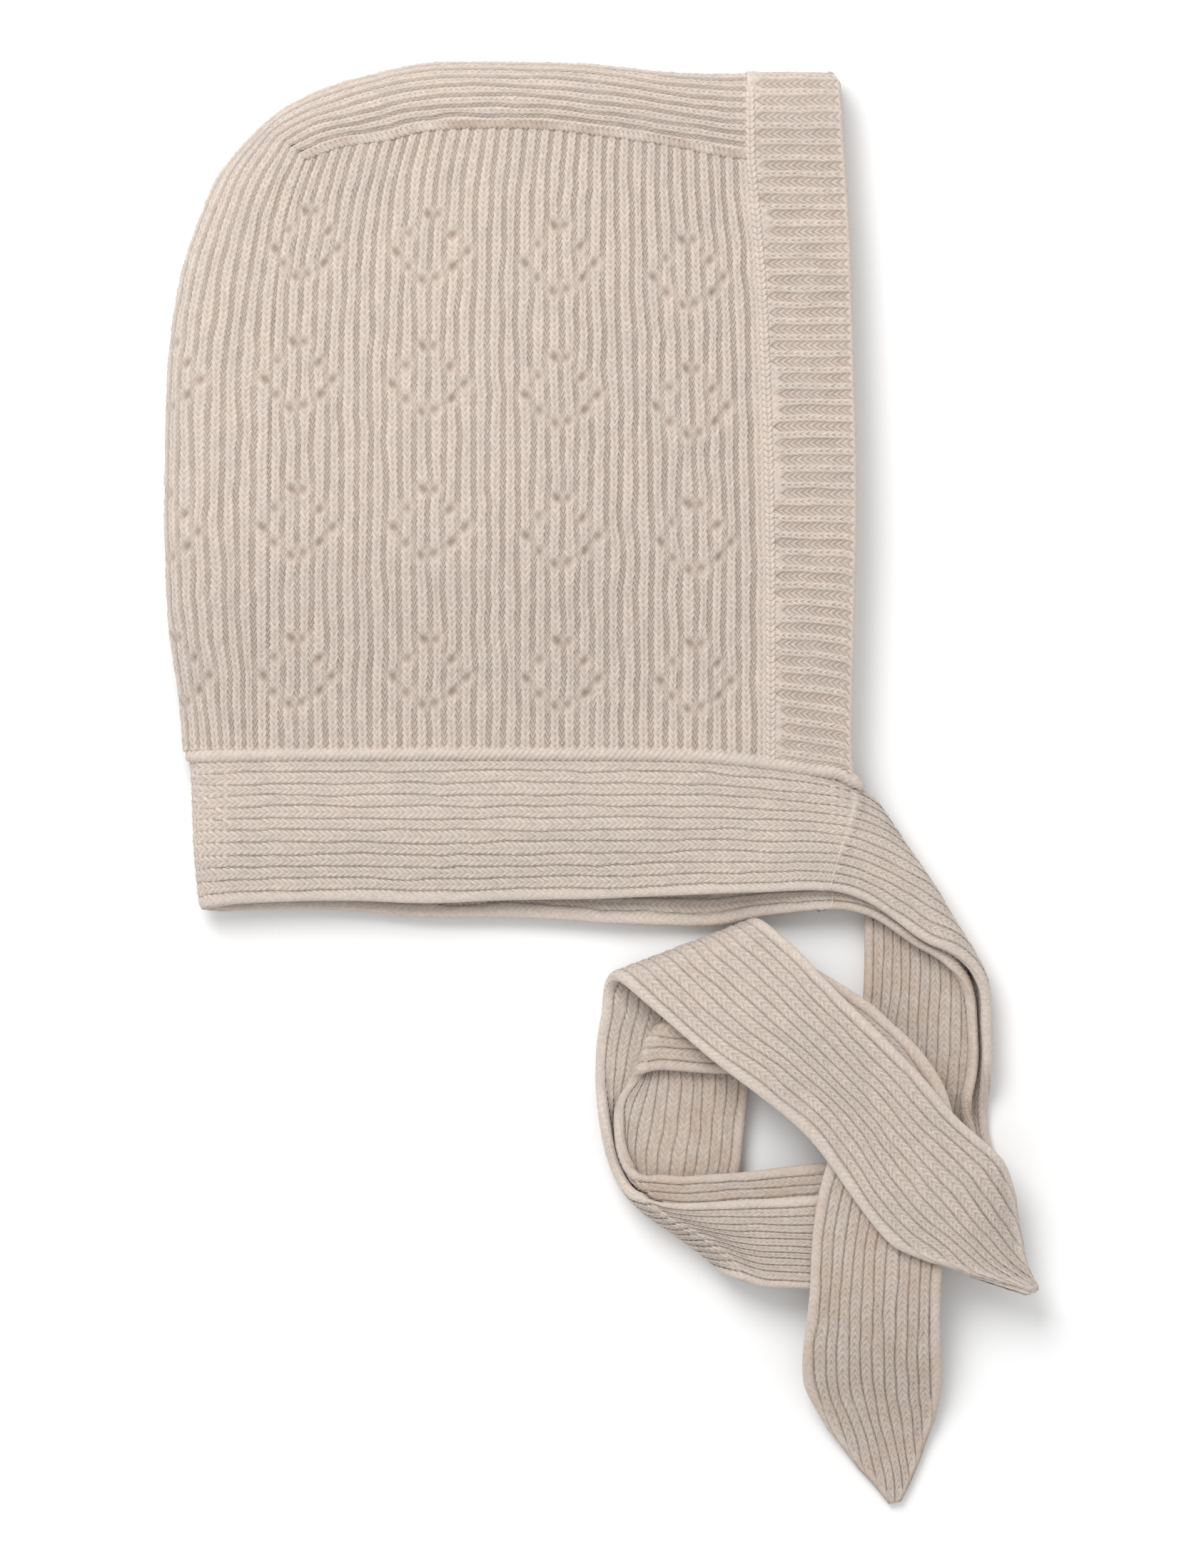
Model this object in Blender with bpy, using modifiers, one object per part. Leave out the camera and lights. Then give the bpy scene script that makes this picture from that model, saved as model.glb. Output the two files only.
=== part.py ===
"""Knitted baby bonnet lying on its side with both neck ties laid in one flat coil."""
import math

import bmesh
import bpy
import numpy as np

# Every size below is in millimetres. +X is the face opening, +Y the crown, +Z up from the table.
MM = 0.001
DEPTH = 155.0
HEIGHT = 190.4
LOFT = 20.0
FRONT_LOFT = 12.0
NECK_LOFT = 10.4
FOLD_REACH = 11.0
WALL = 2.2
BAND_WALL = 3.0
TIE_WIDTH = 30.0
TIE_WALL = 2.2
GAP = 0.3
RIB = 0.45
ROLL = 1.35
SEAM = 0.8
NEAR_TAIL = 120.0
FAR_TAIL = 146.0
# Share of DEPTH and of HEIGHT at which the origin lies, under the middle of the whole thing.
ORIGIN = (0.6242, 0.1497)
# How far the side panel falls towards the crown, as a share of LOFT.
CROWN_FALL = 0.12
# Degrees by which the ties turn where they leave the neck band, and where they start there.
HEAD_TURN = 18.0
NEAR_START = -9.0
FAR_START = -12.0
# Lean of the last leg's rows, from its narrow tip back.
NEAR_LEAN = 1.1
FAR_LEAN = 0.0
WOOL = (0.62, 0.52, 0.43, 1.0)

# Outer silhouette from the nape up the back, over the crown and on to the front seam.
# Columns: share of DEPTH from the back, share of HEIGHT from the neck edge.
OUTLINE = [
    (0.029, 0.194), (0.022, 0.258), (0.007, 0.325), (0.002, 0.392), (0.000, 0.460),
    (0.001, 0.527), (0.004, 0.628),
    (0.012, 0.695), (0.028, 0.762), (0.057, 0.829), (0.082, 0.871), (0.123, 0.910),
    (0.164, 0.940), (0.205, 0.959),
    (0.247, 0.973), (0.288, 0.982), (0.370, 0.997), (0.453, 0.999), (0.536, 0.999),
    (0.618, 0.997), (0.701, 0.990),
    (0.783, 0.987), (0.843, 0.988),
]
# Outline point opposite the seam's start, gusset rib up the back, then the crown seam. Same columns.
CORNER = (0.148, 0.913)
GUSSET = [(0.148, 0.194), (0.149, 0.317), (0.151, 0.485), (0.155, 0.653), (0.163, 0.754),
          (0.179, 0.829), (0.205, 0.887)]
CROWN = [(0.205, 0.887), (0.255, 0.902), (0.324, 0.910), (0.381, 0.921), (0.463, 0.924),
         (0.550, 0.923), (0.618, 0.917),
         (0.721, 0.906), (0.789, 0.895), (0.843, 0.889)]
# Line where the side panel meets the front band, top to bottom. Same columns.
FRONT_SEAM = [(0.843, 0.889), (0.858, 0.754), (0.867, 0.603), (0.872, 0.434), (0.873, 0.317),
              (0.873, 0.186)]
NECK_LINE = [(0.148, 0.194), (0.298, 0.197), (0.690, 0.196), (0.794, 0.192), (0.873, 0.186)]
# Front edge of the band from the crown down. Same columns.
FRONT_EDGE = [(0.976, 0.986), (0.981, 0.913), (0.990, 0.796), (0.996, 0.636), (1.000, 0.485),
              (0.996, 0.334),
              (0.993, 0.182)]
# Cord round the neck, from the front corner to the nape. Same columns.
ROLL_LINE = [(0.979, 0.162), (0.928, 0.168), (0.876, 0.174), (0.794, 0.181), (0.690, 0.184), (0.484, 0.185),
             (0.174, 0.184), (0.092, 0.183)]
# Lower edges of the neck band, front corner to nape, on the near and the far side.
NEAR_HEM = [(0.959, 0.026), (0.893, 0.024), (0.788, 0.019), (0.683, 0.017), (0.567, 0.014), (0.174, 0.013),
            (0.092, 0.013)]
FAR_HEM = [(0.948, 0.000), (0.893, 0.002), (0.846, -0.004), (0.783, -0.017), (0.659, -0.014),
           (0.536, -0.009),
           (0.370, -0.003), (0.205, 0.003), (0.092, 0.005)]

# Heights of the cloth's middle, laid one on another with GAP between.
STEP = TIE_WALL + GAP
FLOOR = TIE_WALL / 2
NEAR_LEVELS = [NECK_LOFT, FLOOR, FLOOR + 3.6 * STEP, FLOOR, FLOOR + 3.2 * STEP]
FAR_LEVELS = [NECK_LOFT - STEP, FLOOR + STEP, FLOOR + 2.6 * STEP, FLOOR + STEP, FLOOR + 2.2 * STEP]
# Ties. Columns of legs: heading in degrees, share of DEPTH, share of HEIGHT on the centre line.
NEAR_LEGS = [(-26.0, (1.060, 0.071)), (-92.0, (1.118, -0.129)), (-177.5, (0.853, -0.402)),
             (-274.0, (0.702, -0.187)), (-402.0, (0.773, -0.091))]
FAR_LEGS = [(-28.0, (1.052, 0.054)), (-92.0, (1.093, -0.129)), (-177.5, (0.853, -0.369)),
            (-273.4, (0.743, -0.238)), (-366.0, (0.825, -0.115))]
# Columns of creases: start and length of the turn that carries the crease out along the edge,
# then where its curl is pressed flat again, measured back from the next crease. None is straight.
NEAR_CREASES = [(24.0, 26.0, 31.0, 17.0), None, (18.0, 20.0, 36.0, 14.0), None]
FAR_CREASES = [(17.0, 26.0, 23.0, 13.0), None, (13.0, 20.0, 29.0, 16.0), None]
# Columns of widths: crease it is measured from, offset, share of TIE_WIDTH.
NEAR_WIDTHS = [(0, -30, 0.74), (0, -6, 0.76), (0, 14, 1.0), (1, -32, 1.0), (1, -15, 0.8),
               (2, 5, 0.8), (2, 36, 1.0)]
FAR_WIDTHS = [(0, -30, 0.74), (0, -9, 0.76), (0, 10, 0.88), (1, -15, 0.88), (1, -5, 0.8),
              (2, 0, 0.8), (2, 20, 1.0)]
TIP = [(-27, 1.0), (-18, 0.87), (-9, 0.58), (-4, 0.34), (0, 0.12)]
# Columns of bends after the last crease: start, end, degrees.
NEAR_BENDS = [(49, 74, -8.0)]
FAR_BENDS = [(12, 47, -40.0), (42, 77, -56.0), (77, 107, 12.0), (112, 144, 10.0)]
# Columns of sideways shift before the last crease: offset, shift.
NEAR_SHIFT = [(-31, 0.0), (-8, 5.0)]
FAR_SHIFT = [(-31, 0.0), (-8, 0.0)]
# Columns of drape on the last leg: offset, height of the cloth's middle in steps over the table.
NEAR_DRAPE = [(0, 3.2), (18, 3.5), (38, 5.7), (95, 5.7), (109, 4.6), (123, 2.8)]
FAR_DRAPE = [(0, 2.2), (18, 2.4), (38, 4.6), (104, 4.6), (127, 0.3), (132, 0.0)]


def smooth(t):
    t = np.clip(t, 0, 1)
    return t * t * (3 - 2 * t)


def at(share):
    """Plan position in millimetres of a pair of shares."""
    return np.array([(share[0] - ORIGIN[0]) * DEPTH, (share[1] - ORIGIN[1]) * HEIGHT])


class Line:
    """Smooth curve through a table of shares, read by its share of length."""

    def __init__(self, table):
        p = np.array([at(row) for row in table])
        q = [p[0]]
        for i in range(len(p) - 1):
            a = p[max(i - 1, 0)]
            b, c = p[i], p[i + 1]
            d = p[min(i + 2, len(p) - 1)]
            for k in range(1, 9):
                t = k / 8
                q.append(0.5 * (2 * b + (c - a) * t + (2 * a - 5 * b + 4 * c - d) * t * t
                                + (3 * b - a - 3 * c + d) * t ** 3))
        self.p = np.array(q)
        step = np.linalg.norm(np.diff(self.p, axis=0), axis=1)
        self.s = np.concatenate([[0], np.cumsum(step)])
        self.length = self.s[-1]

    def __call__(self, t):
        s = np.asarray(t) * self.length
        return np.stack([np.interp(s, self.s, self.p[:, 0]), np.interp(s, self.s, self.p[:, 1])], -1)

    def y_at(self, x):
        order = np.argsort(self.p[:, 0])
        return np.interp(x, self.p[order, 0], self.p[order, 1])

    def x_at(self, y):
        order = np.argsort(self.p[:, 1])
        return np.interp(y, self.p[order, 1], self.p[order, 0])


def shares(x, y):
    return x / DEPTH + ORIGIN[0], y / HEIGHT + ORIGIN[1]


def loft(x, y):
    """Height of the middle of the near layer over the table."""
    a, b = shares(x, y)
    body = LOFT + (FRONT_LOFT - LOFT) * smooth((a - 0.45) / 0.5)
    body = body - CROWN_FALL * LOFT * smooth((b - 0.55) / 0.5)
    neck = NECK_LOFT + 1.2 * smooth((0.9 - a) / 0.6)
    return neck + (body - neck) * smooth((b - 0.17) / 0.3)


def wrap(l, reach, rise):
    """Inward distance and share of rise, l millimetres round from a fold."""
    fi = np.linspace(0, math.pi / 2, 40)
    d, e = reach * (1 - np.cos(fi)), np.sin(fi)
    s = np.concatenate([[0], np.cumsum(np.hypot(np.diff(d), np.diff(e) * rise))])
    l = np.asarray(l, float)
    return np.interp(l, s, d) + np.maximum(l - s[-1], 0), np.interp(l, s, e), s[-1]


def new_object(name, bm, wall):
    mesh = bpy.data.meshes.new(name)
    bm.to_mesh(mesh)
    bm.free()
    ob = bpy.data.objects.new(name, mesh)
    COLLECTION.objects.link(ob)
    if wall:
        mod = ob.modifiers.new("Wall", "SOLIDIFY")
        mod.thickness = wall * MM
        mod.offset = 0
        mod.use_even_offset = True
        mod.use_quality_normals = True
    mat = bpy.data.materials.new(name)
    mat.use_nodes = True
    shader = mat.node_tree.nodes["Principled BSDF"]
    shader.inputs["Base Color"].default_value = WOOL
    shader.inputs["Roughness"].default_value = 0.9
    mesh.materials.append(mat)
    return ob


def grid_object(name, points, wall):
    """Sheet of cloth from an array of middle points, thickened both ways."""
    rows, cols = points.shape[:2]
    bm = bmesh.new()
    bmesh.ops.create_grid(bm, x_segments=cols - 1, y_segments=rows - 1, size=1.0)
    bm.verts.ensure_lookup_table()
    flat = sorted(bm.verts, key=lambda v: (round(v.co.y, 5), round(v.co.x, 5)))
    for v, p in zip(flat, points.reshape(-1, 3)):
        v.co = p * MM
    return new_object(name, bm, wall)


def cord_object(name, path, radius, sides):
    """Round cord along a path, from a bevelled curve."""
    curve = bpy.data.curves.new(name, "CURVE")
    curve.dimensions = "3D"
    curve.bevel_depth = radius * MM
    curve.bevel_resolution = sides
    curve.use_fill_caps = True
    spline = curve.splines.new("POLY")
    spline.points.add(len(path) - 1)
    for point, p in zip(spline.points, path):
        point.co = (p[0] * MM, p[1] * MM, p[2] * MM, 1)
    source = bpy.data.objects.new(name + "_path", curve)
    COLLECTION.objects.link(source)
    bpy.context.view_layer.update()
    mesh = bpy.data.meshes.new_from_object(source.evaluated_get(bpy.context.evaluated_depsgraph_get()))
    bpy.data.objects.remove(source)
    bm = bmesh.new()
    bm.from_mesh(mesh)
    bmesh.ops.remove_doubles(bm, verts=bm.verts, dist=1e-6)
    bmesh.ops.recalc_face_normals(bm, faces=bm.faces)
    return new_object(name, bm, 0)


class Ribbon:
    """Flat strip laid in straight legs joined by diagonal folds over or under."""

    def __init__(self, legs, levels, creases, widths, bends, shift, drape, tail, lean):
        self.heading = [math.radians(row[0]) for row in legs]
        self.levels, self.lean = levels, lean
        points = [at(row[1]) for row in legs]
        unit = [np.array([math.cos(h), math.sin(h)]) for h in self.heading]
        self.creases, self.frames = [], []
        s, start, mirror = 0.0, None, 1.0
        for i in range(len(legs) - 1):
            r = abs(levels[i + 1] - levels[i]) / 2
            u = unit[i] + unit[i + 1]
            u = u / np.linalg.norm(u)
            lean = unit[i][0] * u[1] - unit[i][1] * u[0]
            angle = math.asin(lean)
            slide = math.pi * r / math.tan(abs(angle))
            base = points[0] if start is None else start
            w = base + u * slide - points[i + 1]
            turn = unit[i][0] * unit[i + 1][1] - unit[i][1] * unit[i + 1][0]
            a = -(w[0] * unit[i + 1][1] - w[1] * unit[i + 1][0]) / turn
            hit = base + a * unit[i]
            if start is None:
                self.frames.append((0.0, hit, self.heading[0], 1.0))
            else:
                s = s + a
            alpha = angle * mirror
            self.creases.append({"s": s, "alpha": alpha, "side": -1.0 if alpha > 0 else 1.0, "r": r,
                                 "z": levels[i], "up": np.sign(levels[i + 1] - levels[i])})
            s = s + math.pi * r / math.sin(abs(angle))
            start = hit + u * slide
            mirror = -mirror
            self.frames.append((s, start, self.heading[i + 1], mirror))
        for i, row in enumerate(creases):
            self.trace(i, row)
        mark = [c["s"] for c in self.creases]
        self.end = mark[3] + tail
        self.widths = [(mark[k] + a, b) for k, a, b in widths] + [(self.end + a, b) for a, b in TIP]
        self.bends = [(mark[3] + a, mark[3] + b, c) for a, b, c in bends]
        self.shift = [(mark[3] + a, b) for a, b in shift]
        low = levels[4] / STEP - FLOOR / STEP
        self.drape = [(mark[3] + a, (b - low) * STEP) for a, b in drape]
        self.drape = [(mark[2], 0.0), (mark[3] + 12, 0.0)] + [d for d in self.drape if d[0] > mark[3] + 12]

    def world(self, i, x, y):
        s, p, h, m = self.frames[i]
        a, b = x - s, y * m
        return p[0] + a * math.cos(h) - b * math.sin(h), p[1] + a * math.sin(h) + b * math.cos(h)

    def trace(self, i, row):
        c = self.creases[i]
        t = np.arange(-90.0, 90.0, 0.25)
        ang = np.full(t.shape, c["alpha"])
        if row:
            ang = ang * (1 - np.clip((t - row[0]) / row[1], 0, 1))
        x, y = np.cumsum(np.cos(ang) * 0.25), np.cumsum(np.sin(ang) * 0.25)
        j = int(np.argmin(abs(t)))
        x, y = x - x[j] + c["s"], y - y[j]
        nx, ny = -c["side"] * np.sin(ang), c["side"] * np.cos(ang)
        far = t > 0
        ax, ay = self.world(i + 1, x + nx * math.pi * c["r"], y + ny * math.pi * c["r"])
        bx, by = self.world(i, x, y)
        out = []
        for k, sign in ((i + 1, -1.0), (i, 1.0)):
            h, m = self.frames[k][2:]
            out.append((sign * (nx * math.cos(h) - ny * m * math.sin(h)),
                        sign * (nx * math.sin(h) + ny * m * math.cos(h))))
        c.update(t=t, x=x, y=y, ang=ang, wx=np.where(far, ax, bx), wy=np.where(far, ay, by),
                 nx=np.where(far, out[0][0], out[1][0]), ny=np.where(far, out[0][1], out[1][1]))
        c["curl"] = row
        following = self.creases[i + 1]["s"] if i + 1 < len(self.creases) else 1e6
        c["fade"] = (following - row[2], following - row[3]) if row else (1e6, 2e6)

    def slant(self, s, start):
        """Lean of the mesh rows, so that they lie along each crease."""
        at_s, lean = [start], [0.0]
        for k, c in enumerate(self.creases):
            half = math.pi * c["r"] / math.sin(abs(c["alpha"]))
            cot = 1 / math.tan(c["alpha"]) * (0.8 if k == 0 else 1.0)
            at_s += [c["s"] + (max(0.6 * half, 12.5) if k == 0 else 0.0), c["s"] + max(half, 12.6)]
            lean += [cot, cot]
        at_s += [at_s[-1] + 40.0, self.end - 28.0, self.end + 1]
        lean += [-self.lean * 0.5, -self.lean, 0.0]
        return np.interp(s, at_s, lean)

    def heading_at(self, s):
        a = np.radians(HEAD_TURN) * smooth((4.0 - s) / 28.0)
        for first, last, turn in self.bends:
            a = a + math.radians(turn) * smooth((s - first) / (last - first))
        return a

    def flat(self, s, w):
        w = w * np.interp(s, [r[0] for r in self.widths], [r[1] for r in self.widths])
        g = np.linspace(-60, self.end + 5, 2400)
        h = self.heading_at(g)
        cx = np.concatenate([[0], np.cumsum(np.cos(h[:-1]) * np.diff(g))])
        cy = np.concatenate([[0], np.cumsum(np.sin(h[:-1]) * np.diff(g))])
        mid = (self.creases[1]["s"] + self.creases[2]["s"]) / 2
        cx, cy = cx - np.interp(mid, g, cx) + mid, cy - np.interp(mid, g, cy)
        a = self.heading_at(s)
        x = np.interp(s, g, cx) - w * np.sin(a)
        y = np.interp(s, g, cy) + w * np.cos(a)
        return x, y + np.interp(s, [r[0] for r in self.shift], [r[1] for r in self.shift])

    def place(self, s, w):
        """Middle of the cloth at s along and w across."""
        s, w = np.broadcast_arrays(np.asarray(s, float), np.asarray(w, float))
        shape = s.shape
        s, w = s.ravel(), w.ravel()
        x, y = self.flat(s, w)
        out = np.zeros((s.size, 3))
        free = np.ones(s.size, bool)
        for i, c in enumerate(self.creases):
            j = np.argmin((x[:, None] - c["x"][None]) ** 2 + (y[:, None] - c["y"][None]) ** 2, axis=1)
            ca, sa = np.cos(c["ang"][j]), np.sin(c["ang"][j])
            ex, ey = x - c["x"][j], y - c["y"][j]
            along = ex * ca + ey * sa
            v = c["side"] * (ey * ca - ex * sa)
            bx = c["wx"][j] + np.gradient(c["wx"], c["t"])[j] * along
            by = c["wy"][j] + np.gradient(c["wy"], c["t"])[j] * along
            r = c["r"]
            first, last = c["fade"]
            here = free & (v <= 0) & (s < last)
            fx, fy = bx + v * c["nx"][j], by + v * c["ny"][j]
            if i > 0 and not c["curl"]:
                fx, fy = self.world(i, x, y)
            out[here] = np.stack([fx, fy, np.full(s.size, c["z"])], 1)[here]
            free = free & ~here
            here = free & (v > 0) & (v < math.pi * r) & (s < last)
            f = smooth((s - first) / (last - first))
            rx, ry = self.world(i + 1, x, y)
            px = (bx + c["nx"][j] * r * np.sin(v / r)) * (1 - f) + rx * f
            py = (by + c["ny"][j] * r * np.sin(v / r)) * (1 - f) + ry * f
            pz = (c["z"] + c["up"] * r * (1 - np.cos(v / r))) * (1 - f) + (c["z"] + 2 * c["up"] * r) * f
            out[here] = np.stack([px, py, pz], 1)[here]
            free = free & ~here
        fx, fy = self.world(len(self.creases), x, y)
        out[free] = np.stack([fx, fy, np.full(s.size, self.levels[-1])], 1)[free]
        last = self.creases[3]["s"]
        read = s + w * self.lean * smooth((s - last - 40) / 40)
        out[:, 2] += np.interp(read, [d[0] for d in self.drape], [d[1] for d in self.drape])
        return out.reshape(shape + (3,))


def fold_path(near, far, x_fold, count):
    """Plan and height of one rib round the neck: near front corner, nape fold, far front corner."""
    rise = (near[-1][2] - far[-1][2]) / 2
    mid = (near[-1][2] + far[-1][2]) / 2
    out = list(near)
    for k in range(1, count):
        fi = math.pi * k / count
        t = k / count
        x = near[-1][0] * (1 - t) + far[-1][0] * t - (near[-1][0] - x_fold) * math.sin(fi)
        y = near[-1][1] * (1 - t) + far[-1][1] * t
        out.append((x, y, mid + rise * math.cos(fi)))
    return out + list(far[::-1])


def neck_paths(across, columns, turn):
    """Rows of the neck band. across runs from 0 at the cord to 1 at the hem."""
    roll, near_hem, far_hem = Line(ROLL_LINE), Line(NEAR_HEM), Line(FAR_HEM)
    near_end = [NEAR_TIE.place(NEAR_START - 3 * GAP, w * TIE_WIDTH / 2) for w in (1, -1)]
    far_end = [FAR_TIE.place(FAR_START - 3 * GAP, w * TIE_WIDTH / 2) for w in (1, -1)]
    x0 = at(NEAR_HEM[-1])[0]
    rows = []
    for k in across:
        sides = []
        for hem, ends, tie_level in ((near_hem, near_end, 1), (far_hem, far_end, 0)):
            end = ends[0] * (1 - k) + ends[1] * k
            side = []
            for t in np.linspace(0, 1, columns):
                x = x0 + (at(NEAR_HEM[0])[0] - x0) * t
                top = roll.y_at(x) - ROLL - 3 * GAP
                y = top + (hem.y_at(x) - top) * k
                if tie_level:
                    z = loft(x, y)
                else:
                    z = FLOOR + (NECK_LOFT - STEP - FLOOR) * smooth((shares(x, y)[0] - 0.76) / 0.2)
                side.append((x, y, z))
            side.append(tuple(end))
            sides.append(side[::-1])
        rows.append(fold_path(sides[0], sides[1], x0 - DEPTH * (0.047 - 0.014 * k), turn))
    return np.array(rows)


def shell():
    """Back, crown strip and both side panels as one knitted sheet."""
    up, over, ribs = 9, 15, 4
    outline, gusset, crown = Line(OUTLINE), Line(GUSSET), Line(CROWN)
    seam, neck, roll = Line(FRONT_SEAM), Line(NECK_LINE), Line(ROLL_LINE)
    away = np.linalg.norm(outline.p - at(CORNER), axis=1)
    turn = outline.s[int(np.argmin(away))] / outline.length
    t = np.concatenate([np.linspace(0, turn, up + 1), np.linspace(turn, 1, over + 1)[1:]])
    outer = outline(t)
    inner = np.concatenate([gusset(np.linspace(0, 1, up + 1)), crown(np.linspace(0, 1, over + 1))[1:]])
    bm = bmesh.new()
    strip = []
    across = [-1, -0.86, -0.72, -0.58, -0.44, -0.3, -0.16, 0, 0.16, 0.3, 0.44, 0.58, 0.72, 0.86, 1]
    for j, (o, g) in enumerate(zip(outer, inner)):
        width = np.linalg.norm(g - o)
        way = (g - o) / width
        top = loft(g[0], g[1])
        mid = (top + WALL / 2) / 2
        row = []
        for k, r in enumerate(across):
            arc = wrap(0, FOLD_REACH, top - mid)[2]
            total = arc + width - WALL / 2 - FOLD_REACH
            d, e, _ = wrap(abs(r) * total, FOLD_REACH, top - mid)
            p = o + way * (WALL / 2 + d)
            if r > 0:
                high = loft(p[0], p[1]) if abs(r) < 1 else top
                z = mid + (high - mid) * e
            else:
                z = mid - (mid - WALL / 2) * e
            if k == 0 and j >= up:
                z += 2 * SEAM + GAP + 1.3
            row.append(bm.verts.new((p[0] * MM, p[1] * MM, z * MM)))
        strip.append(row)
    for j in range(len(strip) - 1):
        for k in range(len(across) - 2):
            bm.faces.new((strip[j][k], strip[j + 1][k], strip[j + 1][k + 1], strip[j][k + 1]))
    for near in (True, False):
        cols = over * (ribs if near else 1)
        edge = -1 if near else 0
        left = [strip[j][edge] for j in range(up + 1)]
        a = np.linspace(0, 1, cols + 1)
        b = np.linspace(0, 1, up + 1)
        coarse = np.array([v.co[:2] for v in [s[edge] for s in strip[up:]]]) / MM
        top_xy = np.stack([np.interp(a, np.linspace(0, 1, over + 1), coarse[:, c]) for c in (0, 1)], 1)
        left_xy = np.array([v.co[:2] for v in left]) / MM
        low_xy, right_xy = neck(a), seam(1 - b)
        low_xy[:, 1] = roll.y_at(low_xy[:, 0]) + ROLL + 2 * GAP
        right_xy[0] = low_xy[-1]
        low_xy[0] = left_xy[0]
        table = [[None] * (cols + 1) for _ in range(up + 1)]
        for j in range(up + 1):
            for i in range(cols + 1):
                if i == 0:
                    table[j][i] = left[j]
                    continue
                if j == up and i % (cols // over) == 0:
                    table[j][i] = strip[up + i // (cols // over)][edge]
                    continue
                u, v = a[i], b[j]
                p = ((1 - v) * low_xy[i] + v * top_xy[i] + (1 - u) * left_xy[j] + u * right_xy[j]
                     - (1 - u) * (1 - v) * low_xy[0] - u * (1 - v) * low_xy[-1]
                     - (1 - u) * v * top_xy[0] - u * v * top_xy[-1])
                z = loft(p[0], p[1]) if near else WALL / 2
                if near and 0 < i < cols and j < up:
                    z += RIB * (1 if i % 2 else -1)
                if not near and j == up:
                    z = left[up].co.z / MM
                table[j][i] = bm.verts.new((p[0] * MM, p[1] * MM, z * MM))
        for j in range(up):
            for i in range(cols):
                quad = (table[j][i], table[j][i + 1], table[j + 1][i + 1], table[j + 1][i])
                bm.faces.new(quad)
        for j in range(len(strip) - 1):
            if j < up:
                rim = [left[j], left[j + 1]]
            else:
                n = cols // over
                rim = table[up][(j - up) * n:(j - up + 1) * n + 1]
            if near:
                bm.faces.new([strip[j][-2], strip[j + 1][-2]] + rim[::-1])
    bmesh.ops.recalc_face_normals(bm, faces=bm.faces)
    return new_object("knitted_shell", bm, WALL)


def front_band():
    """Ribbed band round the face opening, over the crown and down both sides."""
    seam, edge, roll = Line(FRONT_SEAM), Line(FRONT_EDGE), Line(ROLL_LINE)
    low = at(FRONT_SEAM[-1])[1]
    high = at(OUTLINE[-1])[1] - BAND_WALL / 2
    top = loft(at(CROWN[-1])[0], at(CROWN[-1])[1])
    mid = (top + BAND_WALL / 2) / 2
    arc = wrap(0, FOLD_REACH, top - mid)[2]
    total = arc + (high - FOLD_REACH - low)
    ribs = 76
    first, last = arc / total, 1.0
    side = np.concatenate([np.linspace(0, first, 7), np.linspace(first, last, ribs + 1)[1:]])
    stations = np.concatenate([side[::-1], -side[1:]])
    rows = []
    for n, r in enumerate(stations):
        d, e, _ = wrap(abs(r) * total, FOLD_REACH, top - mid)
        y = high - d
        x0 = seam.x_at(min(y, at(FRONT_SEAM[0])[1])) + 2 * GAP
        x1 = edge.x_at(y) - 0.6
        row = []
        for k in (0.0, 0.5, 1.0):
            x = x0 + (x1 - x0) * k
            foot = roll.y_at(x) + ROLL + 2 * GAP
            y = high - d * (1 + (low - foot) / (high - low) * smooth(abs(r) * 2 - 1))
            if r > 0:
                z = mid + (loft(x, y) - mid) * e
            else:
                z = mid - (mid - BAND_WALL / 2) * e
            if abs(r) > first and r > 0 and 0 < k < 1:
                z += RIB * (1 if n % 2 else -1)
            row.append((x, y, z))
        rows.append(row)
    return grid_object("front_band", np.array(rows), BAND_WALL)


def neck_band():
    across = np.linspace(0, 1, 12)
    rows = neck_paths(across, 11, 6)
    rows[1:-1:2, 1:12, 2] += RIB * 0.8
    return grid_object("neck_band", rows, TIE_WALL)


def neck_roll():
    line = Line(ROLL_LINE)
    near, far = [], []
    for t in np.linspace(0, 1, 22):
        p = line(t)
        near.append((p[0], p[1], loft(p[0], p[1]) + 0.6))
        rise = (NECK_LOFT - STEP - FLOOR) * smooth((shares(*p)[0] - 0.76) / 0.2)
        far.append((p[0], p[1], ROLL + 0.05 + rise))
    path = fold_path(near, far, near[-1][0] - 0.051 * DEPTH, 8)
    return cord_object("neck_roll", path, ROLL, 1)


def crown_seam(name, near):
    line = Line(CROWN)
    path = []
    for t in np.linspace(0.02, 0.985, 22):
        p = line(t)
        z = loft(p[0], p[1]) + WALL / 2 + SEAM + 1.6 * GAP if near else SEAM + 0.02
        path.append((p[0], p[1], z))
    return cord_object(name, path, SEAM, 1)


def tie(name, ribbon, start):
    body = np.linspace(start, ribbon.end - TIE_WIDTH, 58)
    tip = np.linspace(ribbon.end - TIE_WIDTH, ribbon.end, 8)[1:]
    s = np.concatenate([body, tip])
    w = np.array([-1, -0.86, -0.7, -0.52, -0.3, 0.05, 0.4, 0.7, 1]) * TIE_WIDTH / 2
    s, w = s[:, None], w[None, :]
    return grid_object(name, ribbon.place(s + w * ribbon.slant(s, start), w), TIE_WALL)


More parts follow.
